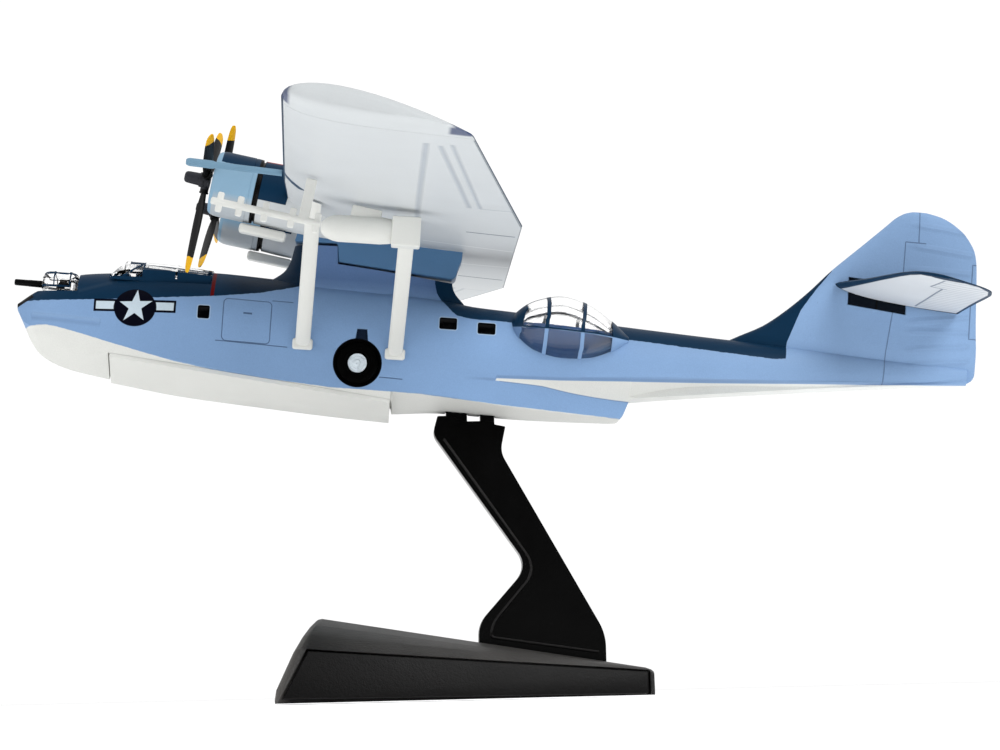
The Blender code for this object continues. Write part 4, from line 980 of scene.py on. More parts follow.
def clear_plastic():
    """Moulded clear plastic, a little cloudy and scratched."""
    paint = Paint("clear_moulding", CRAFT_PLACE, Transmission_Weight=1.0, IOR=1.38)
    scratches = paint.noise(2.2, 3.0, 0.6, (0.4, 1.0, 3.0))
    relief = paint.node("Bump", None, {"Strength": 0.15, "Distance": MM, "Height": scratches * 0.02})
    paint.set(Base_Color=(1.0, 1.0, 1.0, 1.0), Roughness=paint.noise(0.5, 4.0) * 0.02, Normal=relief)
    return paint.material


def gloss_black():
    """Glossy black moulded plastic with faint flow marks, and a painted highlight on the bead."""
    paint = Paint("glossy_black_plastic", Specular_IOR_Level=0.09)
    flow = paint.noise(0.12, 4.0, 0.6, (1.0, 1.0, 0.3))
    paint.colour = paint.mix(flow, tone(1, 1, 1), tone(4, 4, 4))
    # Painted highlight: the bead that stands out of the arm's faces is painted paler.
    paint.coat(abs(paint.y).over(0.5 * ARM_THICK + 0.14, 0.1), tone(34, 33, 33))
    return paint.finish(0.2 + (flow - 0.5) * 0.08, grain=0.3, relief=0.15)


def grained_black(name, with_painted_light):
    """Matte black plastic with a fine grain; one of them has painted light at its left end and in patches on
    top.
    """
    paint = Paint(name, Specular_IOR_Level=0.22 if with_painted_light else 0.12)
    x, z = paint.x, paint.z
    grain = paint.noise(3.5, 2.0, 0.8)
    paint.colour = paint.mix(grain, tone(1, 1, 1), tone(14, 13, 13))
    if with_painted_light:
        # Painted light: patches on the top, brighter to the right, and a lighter band at the left end.
        painted_top_light = paint.noise(0.05, 3.0) * z.over(3.5, 2.0) * x.over(-12.0, 16.0)
        end = (x - (z * 0.34 - 24.6)).under(0.6, 1.6)
        paint.coat(end * 0.9 | painted_top_light * 0.9, tone(84, 82, 80))
    dust = paint.noise(2.4, 6.0, 0.8).over(0.69, 0.03)
    return paint.finish(0.42, 0.5, grain * 0.05, (dust * 0.4, tone(60, 60, 62)), 0.6)


def tyre_rubber():
    paint = Paint("tyre_rubber", CRAFT_PLACE, Specular_IOR_Level=0.01)
    scuff = paint.noise(1.2, 5.0)
    paint.colour = paint.mix(scuff, tone(1, 1, 1), tone(5, 5, 5))
    return paint.finish(0.55 - scuff * 0.2, grain=0.3)


def hub_finish():
    paint = Paint("hub_enamel", CRAFT_PLACE, Specular_IOR_Level=0.5)
    paint.colour = tone(216, 226, 233)
    paint.coat(paint.noise(1.6, 4.0).over(0.6, 0.2) * 0.35, tone(128, 140, 152))
    return paint.finish(0.35)


# Hull

def mirrored(half):
    return list(half) + across([spot for spot in half if abs(spot[1]) > 1e-6])


def hull_half(x):
    """Points of the hull's section from the keel up the starboard side to the deck."""
    keel = along_broken(KEEL_LINES, x)
    chine_z = along_broken(CHINE_LINES, x)
    chine_y, wide_y, deck = (along(line, x) for line in (CHINE_BEAM, WIDE_BEAM, DECK_LINE))
    insert_front = KEEL_INSERT_SPAN[0] - 0.15
    insert_side = chine_y - 0.7
    bilge = (0.55 * chine_y, keel + 0.45 * (chine_z - keel))
    if insert_front <= x <= KEEL_INSERT_SPAN[1] + 0.05:
        bilge = (insert_side, keel)
    elif x < insert_front:
        near = min(1.0, max(0.0, (x + 55.0) / 6.25))
        insert_floor = KEEL_LINES[1][0][1]
        bilge = (bilge[0] + near * (insert_side - bilge[0]), bilge[1] + near * (insert_floor - bilge[1]))
    if x < LEDGE_IN_LINE[0][0]:
        widest = chine_z + 0.42 * (deck - chine_z)
        inner, outer = ((chine_y + share * (wide_y - chine_y), chine_z + share * (widest - chine_z))
                        for share in (0.3, 0.7))
    else:
        outer_z = along(LEDGE_OUT_LINE, x)
        widest = outer_z + 0.25 * (deck - outer_z)
        outer = (0.95 * wide_y, outer_z)
        open_out = min(1.0, max(0.0, (x - 3.2) / 15.0))
        inner = (chine_y + (1.0 - open_out) * 0.8 * (outer[0] - chine_y), along(LEDGE_IN_LINE, x))
    corners = [(0.0, keel), bilge, (chine_y, chine_z), inner, outer]
    half = []
    for (y0, z0), (y1, z1), steps in zip(corners, corners[1:], (3, 2, 2, 2)):
        half += [(x, y0 + (y1 - y0) * k / steps, z0 + (z1 - z0) * k / steps) for k in range(steps)]
    half.append((x, *outer))
    for i in range(DECK_ARC_STEPS + 1):
        angle = 0.5 * math.pi * i / DECK_ARC_STEPS
        y = wide_y * max(0.0, math.cos(angle)) ** 0.8
        z = widest + (deck - widest) * math.sin(angle) ** 0.95
        half.append((x, 0.0 if i == DECK_ARC_STEPS else y, z))
    return half


def hull_side(x, z):
    """Half width of the hull at a place on its side."""
    half = hull_half(x)
    return max(y0 + (y1 - y0) * (z - z0) / (z1 - z0) for (_, y0, z0), (_, y1, z1) in zip(half, half[1:])
               if min(z0, z1) <= z <= max(z0, z1) and z0 != z1)


def level_half(nose):
    return ((0.0, 0.0), (0.006, 0.25), (0.02, 0.45), (nose * 0.3, 0.7), (nose * 0.6, 0.85), (nose, 0.95),
            (nose * 1.6, 1.0), (0.55, 0.92), (0.78, 0.64), (1.0, 0.28))


def level_ring(levels, z, nose):
    """Streamlined outline at one height, round in front and thin behind."""
    front, back, half_width = (along(column(levels, k), z) for k in (1, 2, 3))
    shape = level_half(nose)
    one_side = [(front + t * (back - front), along(shape, t) * half_width, z) for t in LEVEL_STEPS]
    return one_side + across(one_side[1:])


def fin_half(x, z):
    front, back, half_width = (along(column(FIN_LEVELS, k), z) for k in (1, 2, 3))
    return half_width * along(level_half(FIN_NOSE), (x - front) / (back - front))


def make_hull(paint):
    stations = sorted({round(x, 4) for run in HULL_RUNS for x in spread(*run)})
    hull = skin("hull_shell", [mirrored(hull_half(x)) for x in stations], CRAFT)
    hull.data.materials.append(paint)
    # Painted shade: the blister recesses are lined in a darker blue than the sides.
    shade = plain_paint("blister_well_painted_shade", tone(76, 106, 154))
    heights = spread(12.0, 15.6, 0.6) + spread(15.8, 18.4, 0.2) + spread(18.8, 21.3, 0.5)
    pylon = skin("pylon_form", [level_ring(PYLON_LEVELS, z, PYLON_NOSE) for z in heights], CRAFT)
    room = [(x, z - GAP) for x, z in PYLON_BLOCK[:4]]
    room += [(2.0, 17.4), (2.0, 30.0), (-30.0, 30.0), (-30.0, PYLON_BLOCK[0][1] - GAP)]
    carve(pylon, plank("pylon_room", room, -9.0, 9.0, CRAFT))
    carve(hull, pylon, "UNION")
    heights = spread(8.2, 9.6, 0.2) + spread(10.0, 28.4, 0.5) + spread(28.6, 31.25, 0.16)
    fin_rings = [level_ring(FIN_LEVELS, z, FIN_NOSE) for z in heights]
    carve(hull, skin("fin_form", fin_rings, CRAFT), "UNION")
    carve(hull, block("canopy_seat", (13.75, 20.0, 6.0), (-42.5, 0.0, 17.8), CRAFT))
    carve(hull, block("turret_seat", (5.65, 18.0, 6.0), (-56.28, 0.0, 15.95), CRAFT))
    carve(hull, plank("step_corner", STEP_CORNER, -9.0, 9.0, CRAFT))
    carve(hull, plank("deck_trough", DECK_TROUGH, -5.0, 5.0, CRAFT))
    well = ((WHEEL_WELL_Y, TYRE_RADIUS + GAP), (14.0, TYRE_RADIUS + GAP))
    for sign in SIDES.values():
        carve(hull, blister_form("blister_recess", sign, BLISTER_ROOT_Y - GAP, 0.06), lining=shade)
        carve(hull, turned("wheel_well", well, wheel_place(sign), 64))
        carve(hull, plank("leg_slot", LEG_SLOT, sign * 9.5, sign * 14.5, CRAFT))
        carve(hull, root_block(sign, 0.12))
        for (x0, z0), (x1, z1) in PANES:
            x, z = 0.5 * (x0 + x1), 0.5 * (z0 + z1)
            depth = min(hull_side(x, z1), hull_side(x, z0)) - 0.15
            size = (x1 - x0 - 0.1, 4.0, z1 - z0 - 0.1)
            carve(hull, block("pane_recess", size, (x, sign * (depth + 2.0), z), CRAFT, 0.25, 3))
    for x0, x1, top in ARM_PEGS:
        size = (x1 - x0 + 2.0 * PEG_ROOM, PEG_THICK + 2.0 * PEG_ROOM, 4.0)
        carve(hull, block("peg_socket", size, (0.5 * (x0 + x1), 0.0, top + GAP - 2.0), STAND))
    dress(hull, paint, ["hull"], angle=28.0)


def root_block(sign, grow):
    """Slab at the stabilizer's root, its foot following the chord."""
    outer = 3.0 if grow else ROOT_BLOCK_Y[1]
    ways = ((-1.0, 1.0), (-1.0, -1.0), (1.0, -1.0), (1.0, 1.0))
    outline = [(x + grow * a, z + grow * b) for (x, z), (a, b) in zip(ROOT_BLOCK, ways)]
    return plank("root_block", outline, sign * (ROOT_BLOCK_Y[0] - grow), sign * outer, CRAFT)


def make_keel_insert(paint):
    """Planing bottom ahead of the main step, a separate moulding under the forebody."""
    rings = []
    for x in spread(*KEEL_INSERT_SPAN, 1.0):
        top = along(KEEL_LINES[1], x) - 0.03
        keel = along(STEP_KEEL_LINE, x)
        beam = along(CHINE_BEAM, x) - 0.68
        edge = top - 0.5
        half = ((0.0, keel), (0.5 * beam, keel + 0.42 * (edge - keel)), (beam, edge), (beam, top), (0.0, top))
        rings.append(mirrored([(x, y, z) for y, z in half]))
    dress(skin("keel_moulding", rings, CRAFT), paint, ["keel_insert"])


# Clear parts

def blister_form(name, sign, root_y, grow):
    """Teardrop bulge on one side, flat at root_y, grown outwards all round."""
    first, last = BLISTER_STATIONS[0][0], BLISTER_STATIONS[-1][0]
    stations = spread(first, 6.2, 0.2) + spread(6.2, 18.4, 0.5)[1:] + spread(18.4, last, 0.25)[1:]
    rings = []
    for x in stations:
        low, high, out = (along(column(BLISTER_STATIONS, k), x) for k in (1, 2, 3))
        if x == first:
            x -= grow
        elif x == last:
            x += grow
        half_z = max(0.2, 0.5 * (high - low) + grow)
        reach = out + grow - root_y
        ring = []
        for i in range(BLISTER_ARC_STEPS + 1):
            angle = math.pi * (i / BLISTER_ARC_STEPS - 0.5)
            ring.append((x, sign * (root_y + reach * max(0.0, math.cos(angle)) ** 0.8),
                         0.5 * (low + high) + half_z * math.sin(angle)))
        rings.append(ring)
    return skin(name, rings, CRAFT)


def make_blisters(glass, frame_paint):
    (x0, z0), (x1, z1) = BLISTER_RAIL
    rail_at = Vector((x0, 0.0, z0))
    rail_up = Vector((z0 - z1, 0.0, x1 - x0)).normalized()
    first, last = BLISTER_ENDS
    cuts = [(rail_at + rail_up * d, rail_up) for d in (-RAIL_HALF, RAIL_HALF)]
    for middle, half in BLISTER_FRAMES:
        cuts += [((middle + d, 0.0, 11.0), (1.0, 0.0, -BLISTER_LEAN)) for d in (-half, half)]
    cuts += [((first, 0.0, 11.6), (1.0, 0.0, -0.2)), ((last, 0.0, 11.6), (1.0, 0.0, 0.0))]

    def painted(spot):
        level = (spot - rail_at).dot(rail_up)
        out = abs(spot.y) - BLISTER_ROOT_Y
        if out < 0.05:
            return False
        hoop = out < HOOP_WIDTH and level > 0.0
        ends = spot.x > last or spot.x - first < (spot.z - 11.6) * 0.2
        lean = (spot.z - 11.0) * BLISTER_LEAN
        frames = any(abs(spot.x - middle - lean) < half for middle, half in BLISTER_FRAMES)
        return abs(level) < RAIL_HALF or hoop or ends or frames

    for side, sign in SIDES.items():
        shell = blister_form("clear_blister_" + side, sign, BLISTER_ROOT_Y, 0.0)
        carve(shell, blister_form("inside", sign, BLISTER_ROOT_Y - 1.0, -BLISTER_WALL))
        score(shell, cuts + [((0.0, sign * (BLISTER_ROOT_Y + HOOP_WIDTH), 0.0), (0.0, 1.0, 0.0))])
        shell.data.materials.append(glass)
        core = (12.0, sign * BLISTER_ROOT_Y, 11.6)
        raise_faces(shell, outside(core, (0.25, 1.0, 1.0), painted), 0.1, frame_paint)
        dress(shell, glass, ["blister_" + side], angle=40.0)


def canopy_form(name, grow):
    """Cockpit roof with its raked windscreen; grow is negative for the inside."""
    floor = 14.79 if grow == 0.0 else 14.0
    rings = []
    for x, side_z, edge_z, top_z, low_y, high_y in CANOPY_STATIONS:
        x += grow * {CANOPY_STATIONS[0][0]: -1.0, CANOPY_STATIONS[-1][0]: 1.0}.get(x, 0.0)
        low, high = low_y + grow, high_y + grow
        crown = [(high * k, edge_z + (top_z - edge_z) * (1.0 - k * k) + grow) for k in (0.75, 0.4)]
        half = ((0.0, floor), (low, floor), (low, side_z + grow), (high, edge_z + grow), *crown,
                (0.0, top_z + grow))
        rings.append(mirrored([(x, y, z) for y, z in half]))
    return skin(name, rings, CRAFT)


def make_canopy(glass, frame_paint):
    shell = canopy_form("clear_canopy", 0.0)
    carve(shell, canopy_form("inside", -0.5))
    cuts = [((x, 0.0, 16.0), (1.0, 0.0, 0.0)) for x in (-46.85, -46.65, -44.9, -44.65, -40.5, -40.25)]
    cuts += [((0.0, 0.0, z), (0.0, 0.0, 1.0)) for z in (15.3, 17.1)]
    cuts += [((-44.65, 0.0, 16.6 + d), (0.062, 0.0, 0.998)) for d in (0.0, 0.42, 0.54)]
    cuts += [((-47.1, 0.0, 15.55 + d), (-0.59, 0.0, 0.807)) for d in (-0.16, 0.16)]
    cuts += [((0.0, y, 0.0), (0.0, 1.0, 0.0)) for y in (-0.15, 0.15)]
    score(shell, cuts)

    def painted(spot):
        edge = 16.6 - 0.062 * (spot.x + 44.65)
        if spot.z < 15.3 or edge + 0.42 < spot.z < edge + 0.54 and spot.x > -44.65:
            return True
        if spot.x > -44.65:
            return spot.z < edge and not -40.5 < spot.x < -40.25
        brace = (spot.z - 15.55) * 0.807 - (spot.x + 47.1) * 0.59
        post = spot.x > -44.9 and spot.z < 17.1
        return abs(brace) < 0.16 or post or spot.x > -46.65 and 17.1 < spot.z < 17.4

    def ribbed(spot):
        bars = ((-46.85, -46.65), (-40.5, -40.25), (-36.0, -35.0))
        on_bar = any(low < spot.x < high for low, high in bars) or (abs(spot.y) < 0.15 and spot.x < -44.4)
        return on_bar and spot.z >= 15.35

    shell.data.materials.append(glass)
    view = ((-42.5, 0.0, 13.5), (0.1, 1.0, 1.0))
    raise_faces(shell, outside(*view, painted, -0.5), 0.06, frame_paint)
    raise_faces(shell, outside(*view, ribbed), 0.08, glass)
    dress(shell, glass, ["cockpit_canopy"], angle=25.0)
    coaming = block("cockpit_fittings", (1.3, 6.4, 1.0), (-47.3, 0.0, 15.4), CRAFT, 0.2)
    seats = [block("seat", (1.0, 2.1, 2.2), (-45.5, y, 15.95), CRAFT, 0.3) for y in (-1.7, 1.7)]
    sill = block("sill", (13.0, 11.6, 0.3), (-42.5, 0.0, 15.0), CRAFT)
    dress(join(coaming, seats + [sill]), frame_paint)


def turret_form(name, grow):
    levels = list(TURRET_LEVELS)
    if grow != 0.0:
        levels[0] = (12.0, *levels[0][1:])
    rings = []
    for z, half_x, half_y in levels:
        ring = []
        for angle in full_circle(48):
            c, s = math.cos(angle), math.sin(angle)
            ring.append((TURRET_X + (half_x + 0.1 + grow) * math.copysign(abs(c) ** 0.6, c),
                         (half_y + grow) * math.copysign(abs(s) ** 0.6, s),
                         z if z == levels[0][0] else z + grow))
        rings.append(ring)
    return skin(name, rings, CRAFT)


def make_turret(glass, frame_paint, dark_paint):
    shell = turret_form("clear_turret", 0.0)
    carve(shell, turret_form("inside", -0.4))
    cuts = [((x, 0.0, 14.0), (1.0, 0.0, 0.0)) for x in (-56.98, -56.78, -54.86, -54.64)]
    cuts += [((0.0, 0.0, z), (0.0, 0.0, 1.0)) for z in (13.6, 13.95, 14.75, 14.95, 15.45, 15.6)]
    score(shell, cuts)

    def ribbed(spot):
        return spot.z < 13.6 or 14.75 < spot.z < 14.95

    def framed(spot):
        upright = (-56.98 < spot.x < -56.78 or -54.86 < spot.x < -54.64) and spot.z > 13.6
        foot = 13.6 < spot.z < 13.95 and spot.x < -54.64
        return upright or foot or 15.45 < spot.z < 15.6

    shell.data.materials.append(glass)
    view = ((TURRET_X, 0.0, 13.6), (1.0, 1.0, 1.3))
    raise_faces(shell, outside(*view, ribbed, -0.5), 0.09, glass)
    raise_faces(shell, outside(*view, framed, -0.5), 0.05, frame_paint)
    dress(shell, glass, ["bow_turret"], angle=30.0)
    mount = turned("turret_mount", ((13.05, 1.1), (13.2, 1.1), (13.25, 0.6), (14.0, 0.5), (14.5, 0.35)),
                   CRAFT @ Matrix.Translation((TURRET_X, 0.0, 0.0)), 24)
    cradle = block("gun_cradle", (1.6, 1.0, 1.15), (-55.5, 0.0, 14.45), CRAFT, 0.15)
    sight = block("gun_sight", (1.0, 0.5, 0.35), (-54.3, 0.0, 14.85), CRAFT, 0.1)
    dress(join(mount, [cradle, sight]), dark_paint)
    lie = aimed(CRAFT, (-62.38, 0.0, 14.12)) @ Matrix.Rotation(math.radians(1.3), 4, "Y")
    dress(turned("bow_gun_barrel", GUN_PROFILE, lie, 28), dark_paint, ["bow_gun"])


# Wing and engines

def foil(t):
    """Heights of the upper and lower surface at t of the chord, as parts of the chord."""
    shape = 0.2969 * math.sqrt(t) - 0.126 * t - 0.3516 * t ** 2 + 0.2843 * t ** 3 - 0.1015 * t ** 4
    thick = 5.0 * THICKNESS * shape + 0.004 * t
    bow = CAMBER * 4.0 * t * (1.0 - t)
    return bow + thick, bow - thick


def wing_place(y):
    out = max(0.0, (abs(y) - KINK_Y) / (TIP_Y - KINK_Y))
    return CHORD_ROOT + out * (CHORD_TIP - CHORD_ROOT), out * TIP_SWEEP, out * TIP_RISE


def foil_ring(y, lead, chord, rise, height):
    upper, lower = ([(lead + t * chord, y, rise + foil(t)[k] * height) for t in FOIL_STEPS] for k in (0, 1))
    return upper[::-1] + lower[1:]


def wing_lower(x, y):
    chord, lead, rise = wing_place(y)
    return rise + foil((x - lead) / chord)[1] * chord


def make_wing(paint):
    ends = (-WING_END_Y, -KINK_Y, KINK_Y, WING_END_Y)
    stations = [y for start, end in zip(ends, ends[1:]) for y in spread(start, end, 5.0)[1:]]
    rings = []
    for y in (ends[0], *stations):
        chord, lead, rise = wing_place(y)
        rings.append(foil_ring(y, lead, chord, rise, chord))
    wing = skin("wing_panel", rings, WING)
    pylon = plank("pylon_block", PYLON_BLOCK, -PYLON_HALF_WIDTH, PYLON_HALF_WIDTH, CRAFT)
    soften(pylon, 0.25, 3, 20.0)
    carve(wing, pylon, "UNION")
    for sign in SIDES.values():
        rings = []
        for x in spread(-3.5, 16.5, 0.8):
            half_y, half_z, z = (along(column(NACELLE_STATIONS, k), x) for k in (1, 2, 3))
            rings.append([(x, sign * ENGINE_Y + half_y * math.cos(a), z + half_z * math.sin(a))
                          for a in full_circle(56)])
        carve(wing, skin("nacelle_form", rings, WING), "UNION")
    dress(wing, paint, ["wing"], angle=35.0)


def make_tip_floats(paint):
    """Floats folded up to form the wing tips."""
    chord = wing_place(WING_END_Y)[0]
    for side, sign in SIDES.items():
        rings = []
        for y in spread(WING_END_Y + 0.14, 104.9, 0.6) + spread(105.05, 105.9, 0.12):
            front, back, thick = (along(column(FLOAT_STATIONS, k), y) for k in (1, 2, 3))
            rings.append(foil_ring(sign * y, front, back - front, wing_place(y)[2], chord * thick))
        piece = skin("tip_float_shell_" + side, rings, WING)
        dress(piece, paint, ["tip_float_" + side], angle=50.0)


def cylinder():
    """One cylinder standing along Z, with its fins, rocker boxes and push rods."""
    barrel = [(1.3, 0.5)]
    for k in range(7):
        at = 1.66 + 0.2 * k
        barrel += [(at, 0.5), (at + 0.02, 0.62), (at + 0.08, 0.62), (at + 0.1, 0.5)]
    barrel += [(3.02, 0.48), (3.08, 0.56), (3.2, 0.5), (3.25, 0.3)]
    still = Matrix.Identity(4)
    parts = [block("rocker", (0.5, 0.3, 0.34), (x, 0.16 * x, 3.1), still, 0.06) for x in (-0.42, 0.42)]
    for y in (-0.22, 0.22):
        parts.append(turned("push_rod", ((1.35, 0.07), (3.0, 0.06)), Matrix.Translation((-0.72, y, 0.0)), 8))
    return join(turned("barrel", barrel, still, 18), parts)


def make_engines(cowl_paint, engine_paint, white):
    length = COWL_BACK - COWL_FRONT
    skirt = [(length + back, cut) for back, cut in COWL_SKIRT]
    profile = [(reach, COWL_RADIUS - cut) for reach, cut in [(length, 0.5), *COWL_LIP, *skirt]]
    case = [*ENGINE_CASE, (length + 0.03, 3.4), (length + 0.04, 3.95), (length + 0.44, 3.95)]
    for side, sign in SIDES.items():
        centre = Vector((COWL_FRONT, sign * ENGINE_Y, THRUST_Z))
        cowl = turned("cowl_" + side, profile, aimed(WING, centre), 72, True)
        dress(cowl, cowl_paint, ["cowling_" + side], angle=35.0)
        engine = turned("radial_engine_" + side, case, aimed(WING, centre), 40)
        model = cylinder()
        parts = []
        for i in range(CYLINDERS):
            turn = Matrix.Rotation(2.0 * math.pi * (i + 0.5) / CYLINDERS, 4, "X")
            spot = WING @ Matrix.Translation(centre) @ turn @ Matrix.Translation((2.7, 0.0, 0.0))
            parts.append(copied(model, "cylinder_%d" % i, spot))
        bpy.data.objects.remove(model)
        join(engine, parts)
        dress(engine, engine_paint, ["engine_" + side], angle=30.0)
        x, y, z = COWL_FRONT + 7.7, sign * ENGINE_Y, THRUST_Z - COWL_RADIUS - GAP - 0.5
        scoop = block("oil_scoop_" + side, (6.2, 2.6, 1.2), (x, y, z), WING, 0.35, 4)
        carve(scoop, block("mouth", (1.2, 1.8, 0.6), (x - 3.1, y, z - 0.05), WING, 0.15))
        dress(scoop, white, ["nacelle_scoop_" + side], angle=40.0)


def blade_ring(radius, chord, thick, twist):
    """Section of a blade: round-nosed, flat-backed and twisted."""
    c, s = math.cos(twist), math.sin(twist)
    return [(v * thick * c - u * chord * s, u * chord * c + v * thick * s, -radius) for u, v in BLADE_SECTION]


def make_propellers(paint):
    reaches = spread(0.4, 11.4, 0.55) + spread(11.55, PROP_RADIUS, 0.15)
    rings = [blade_ring(r, *(along(column(BLADE_STATIONS, k), r) for k in (1, 2, 3))) for r in reaches]
    for side, sign in SIDES.items():
        shaft = WING @ Matrix.Translation((PROP_PLANE, sign * ENGINE_Y, THRUST_Z))
        along_shaft = shaft @ Matrix.Rotation(0.5 * math.pi, 4, "Y")
        prop = turned("propeller_hub_" + side, DOME_PROFILE, along_shaft, 40)
        for i in range(3):
            turn = shaft @ Matrix.Rotation(math.radians(120.0 * i + PROP_TURN[side]), 4, "X")
            carve(prop, skin("blade", rings, turn), "UNION")
            cuff = turned("cuff", CUFF_PROFILE, turn @ Matrix.Rotation(math.pi, 4, "X"), 24)
            carve(prop, cuff, "UNION")
        prop.name = "propeller_blades_" + side
        dress(prop, paint, ["propeller_" + side], side + "_propeller", 35.0)


# Struts, wheels and fittings

def make_struts(white):
    to_craft = Matrix.Translation(WING_SPOT) @ Matrix.Rotation(WING_INCIDENCE, 4, "Y")
    for side, sign in SIDES.items():
        for place, (foot_x, foot_z) in STRUT_FEET.items():
            foot_y = along(WIDE_BEAM, foot_x) + GAP
            foot, head = [], []
            for angle in full_circle(28):
                u = 0.5 * STRUT_CHORD * math.cos(angle)
                v = 0.5 * STRUT_THICK * math.sin(angle)
                foot.append(Vector((foot_x + u, sign * foot_y, foot_z + v * 1.2)))
                x, y = STRUT_TOP_X[place] + u, STRUT_TOP_Y - v * 1.4
                head.append(to_craft @ Vector((x, sign * y, wing_lower(x, y) - GAP)))
            rows = [[a.lerp(b, t) for a, b in zip(foot, head)]
                    for t in (0.0, 0.03, 0.1, 0.3, 0.5, 0.7, 0.9, 0.97, 1.0)]
            strut = skin("wing_strut_%s_%s" % (place, side), rows, CRAFT)
            pad = block("pad", (2.7, 0.9, 1.5), (foot_x, sign * (foot_y + 0.15), foot_z), CRAFT, 0.35, 3)
            carve(strut, pad, "UNION")
            dress(strut, white, ["strut_%s_%s" % (place, side)], angle=40.0)


def wheel_place(sign):
    return aimed(CRAFT, (WHEEL_CENTRE[0], 0.0, WHEEL_CENTRE[1]), "Y", sign)


def make_wheels(rubber, enamel):
    inner = WHEEL_WELL_Y + GAP
    face = WHEEL_FACE_Y
    bore = HUB_RADIUS + 0.15
    grooves = [(inner + 0.3 + 0.27 * k + run, cut) for k in range(3) for run, cut in TREAD_GROOVE]
    outside_in = [(inner, 0.3), (inner + 0.12, 0.08), *grooves]
    outside_in += [(face - back, cut) for back, cut in TYRE_WALL]
    tread = [(inner, bore)] + [(reach, TYRE_RADIUS - cut) for reach, cut in outside_in]
    tread += [(face - 0.12, bore + 0.08), (face - 0.24, bore), (inner, bore)]
    dish = [(inner, HUB_RADIUS)] + [(face - back, radius) for back, radius in HUB_DISH]
    bolt = ((face - 0.4, 0.07), (face - 0.26, 0.07), (face - 0.23, 0.04))
    for side, sign in SIDES.items():
        place = wheel_place(sign)
        tyre = turned("main_tyre_" + side, tread, place, 72, True)
        dress(tyre, rubber, ["tyre_" + side], angle=40.0)
        hub = turned("main_wheel_hub_" + side, dish, place, 48)
        spots = [(0.62 * math.cos(angle), 0.62 * math.sin(angle), 0.0) for angle in full_circle(8)]
        join(hub, [turned("bolt", bolt, place @ Matrix.Translation(spot), 6) for spot in spots])
        dress(hub, enamel, ["wheel_hub_" + side], angle=30.0)


def make_fittings(white, blue):
    droop = WING @ Matrix.Translation((0.0, -PITOT_Y, PITOT_Z)) @ Matrix.Rotation(-PITOT_DROOP, 4, "Y")
    pitot = turned("pitot_probe", PITOT_PROFILE, droop @ Matrix.Rotation(0.5 * math.pi, 4, "Y"), 32)
    dress(pitot, blue, ["pitot_boom"])
    post_top = wing_lower(4.6, ANTENNA_Y) - GAP
    rack_top = min(wing_lower(9.5, STORE_Y), wing_lower(13.5, STORE_Y)) - GAP
    for side, sign in SIDES.items():
        y = sign * ANTENNA_Y
        boom = turned("aerial_boom_" + side, BOOM_PROFILE, aimed(WING, (0.0, y, ANTENNA_Z)), 24)
        for x in ANTENNA_RODS:
            carve(boom, block("rod", (0.8, 0.7, 2.5), (x, y, ANTENNA_Z), WING, 0.22, 3), "UNION")
        middle = (4.4, y, 0.5 * (post_top + ANTENNA_Z))
        carve(boom, block("post", (1.3, 0.75, post_top - ANTENNA_Z), middle, WING, 0.2, 3), "UNION")
        dress(boom, white, ["antenna_" + side], angle=40.0)
        x, z = STORE_NOSE
        y = sign * STORE_Y
        store = turned("wing_store_" + side, STORE_PROFILE, aimed(CRAFT, (x, y, z)), 40)
        carve(store, block("tail", (3.6, 3.7, 3.7), (x + 10.7, y, z), CRAFT, 0.2, 3), "UNION")
        carve(store, block("hollow", (3.6, 2.9, 2.9), (x + 12.0, y, z), CRAFT, 0.15))
        middle = (11.4, y, 0.5 * (rack_top - 4.6))
        carve(store, block("rack", (3.8, 0.8, rack_top + 4.6), middle, WING, 0.2), "UNION")
        dress(store, white, ["store_" + side], angle=40.0)


def make_stabilizers(paint):
    lead = Vector((STAB_ROOT_LE[0], 0.0, STAB_ROOT_LE[1]))
    chord = Vector((STAB_ROOT_TE[0], 0.0, STAB_ROOT_TE[1])) - lead
    up = Vector((-chord.z, 0.0, chord.x)).normalized()
    half = 0.05 * chord.length
    section = [(t, along(STAB_SECTION, t)) for t in STAB_STEPS]
    section += [(t, -w) for t, w in reversed(section[1:])]
    tab = (6.0, ROOT_BLOCK_Y[1] + 0.8 - ROOT_BLOCK_Y[0], 0.4)
    rows = ((2.0, 0.0, 1.0, 1.0, 0.0), *STAB_STATIONS)
    root = [lead + chord * t + up * (w * half) for t, w in section]
    for side, sign in SIDES.items():
        rings = [[(p.x, sign * (fin_half(p.x, p.z) + GAP), p.z) for p in root]]
        for y in spread(4.0, 27.0, 1.0) + spread(27.3, 30.4, 0.3) + spread(30.5, 31.0, 0.1):
            start, end, thick, rise = (along(column(rows, k), y) for k in (1, 2, 3, 4))
            points = [lead + chord * (start + t * (end - start)) + up * (w * half * thick + rise)
                      for t, w in section]
            rings.append([(p.x, sign * y, p.z) for p in points])
        tail = skin("stabilizer_panel_" + side, rings, CRAFT)
        carve(tail, root_block(sign, 0.0), "UNION")
        centre = (54.0, sign * (ROOT_BLOCK_Y[0] + 0.5 * tab[1] + 0.1), 19.6)
        carve(tail, block("root_tab", tab, centre, CRAFT), "UNION")
        dress(tail, paint, ["stabilizer_" + side], angle=35.0)


# Stand

def rounded(corners, steps=8):
    """Outline of (x, z) points with its corners rounded off."""
    outline = []
    for i, (x, z, reach) in enumerate(corners):
        corner = Vector((x, z))
        if reach == 0.0:
            outline.append((x, z))
            continue
        start = corner + (Vector(corners[i - 1][:2]) - corner).normalized() * reach
        end = corner + (Vector(corners[(i + 1) % len(corners)][:2]) - corner).normalized() * reach
        for k in range(steps + 1):
            t = k / steps
            outline.append(tuple(start * (1.0 - t) ** 2 + corner * 2.0 * t * (1.0 - t) + end * t * t))
    return outline


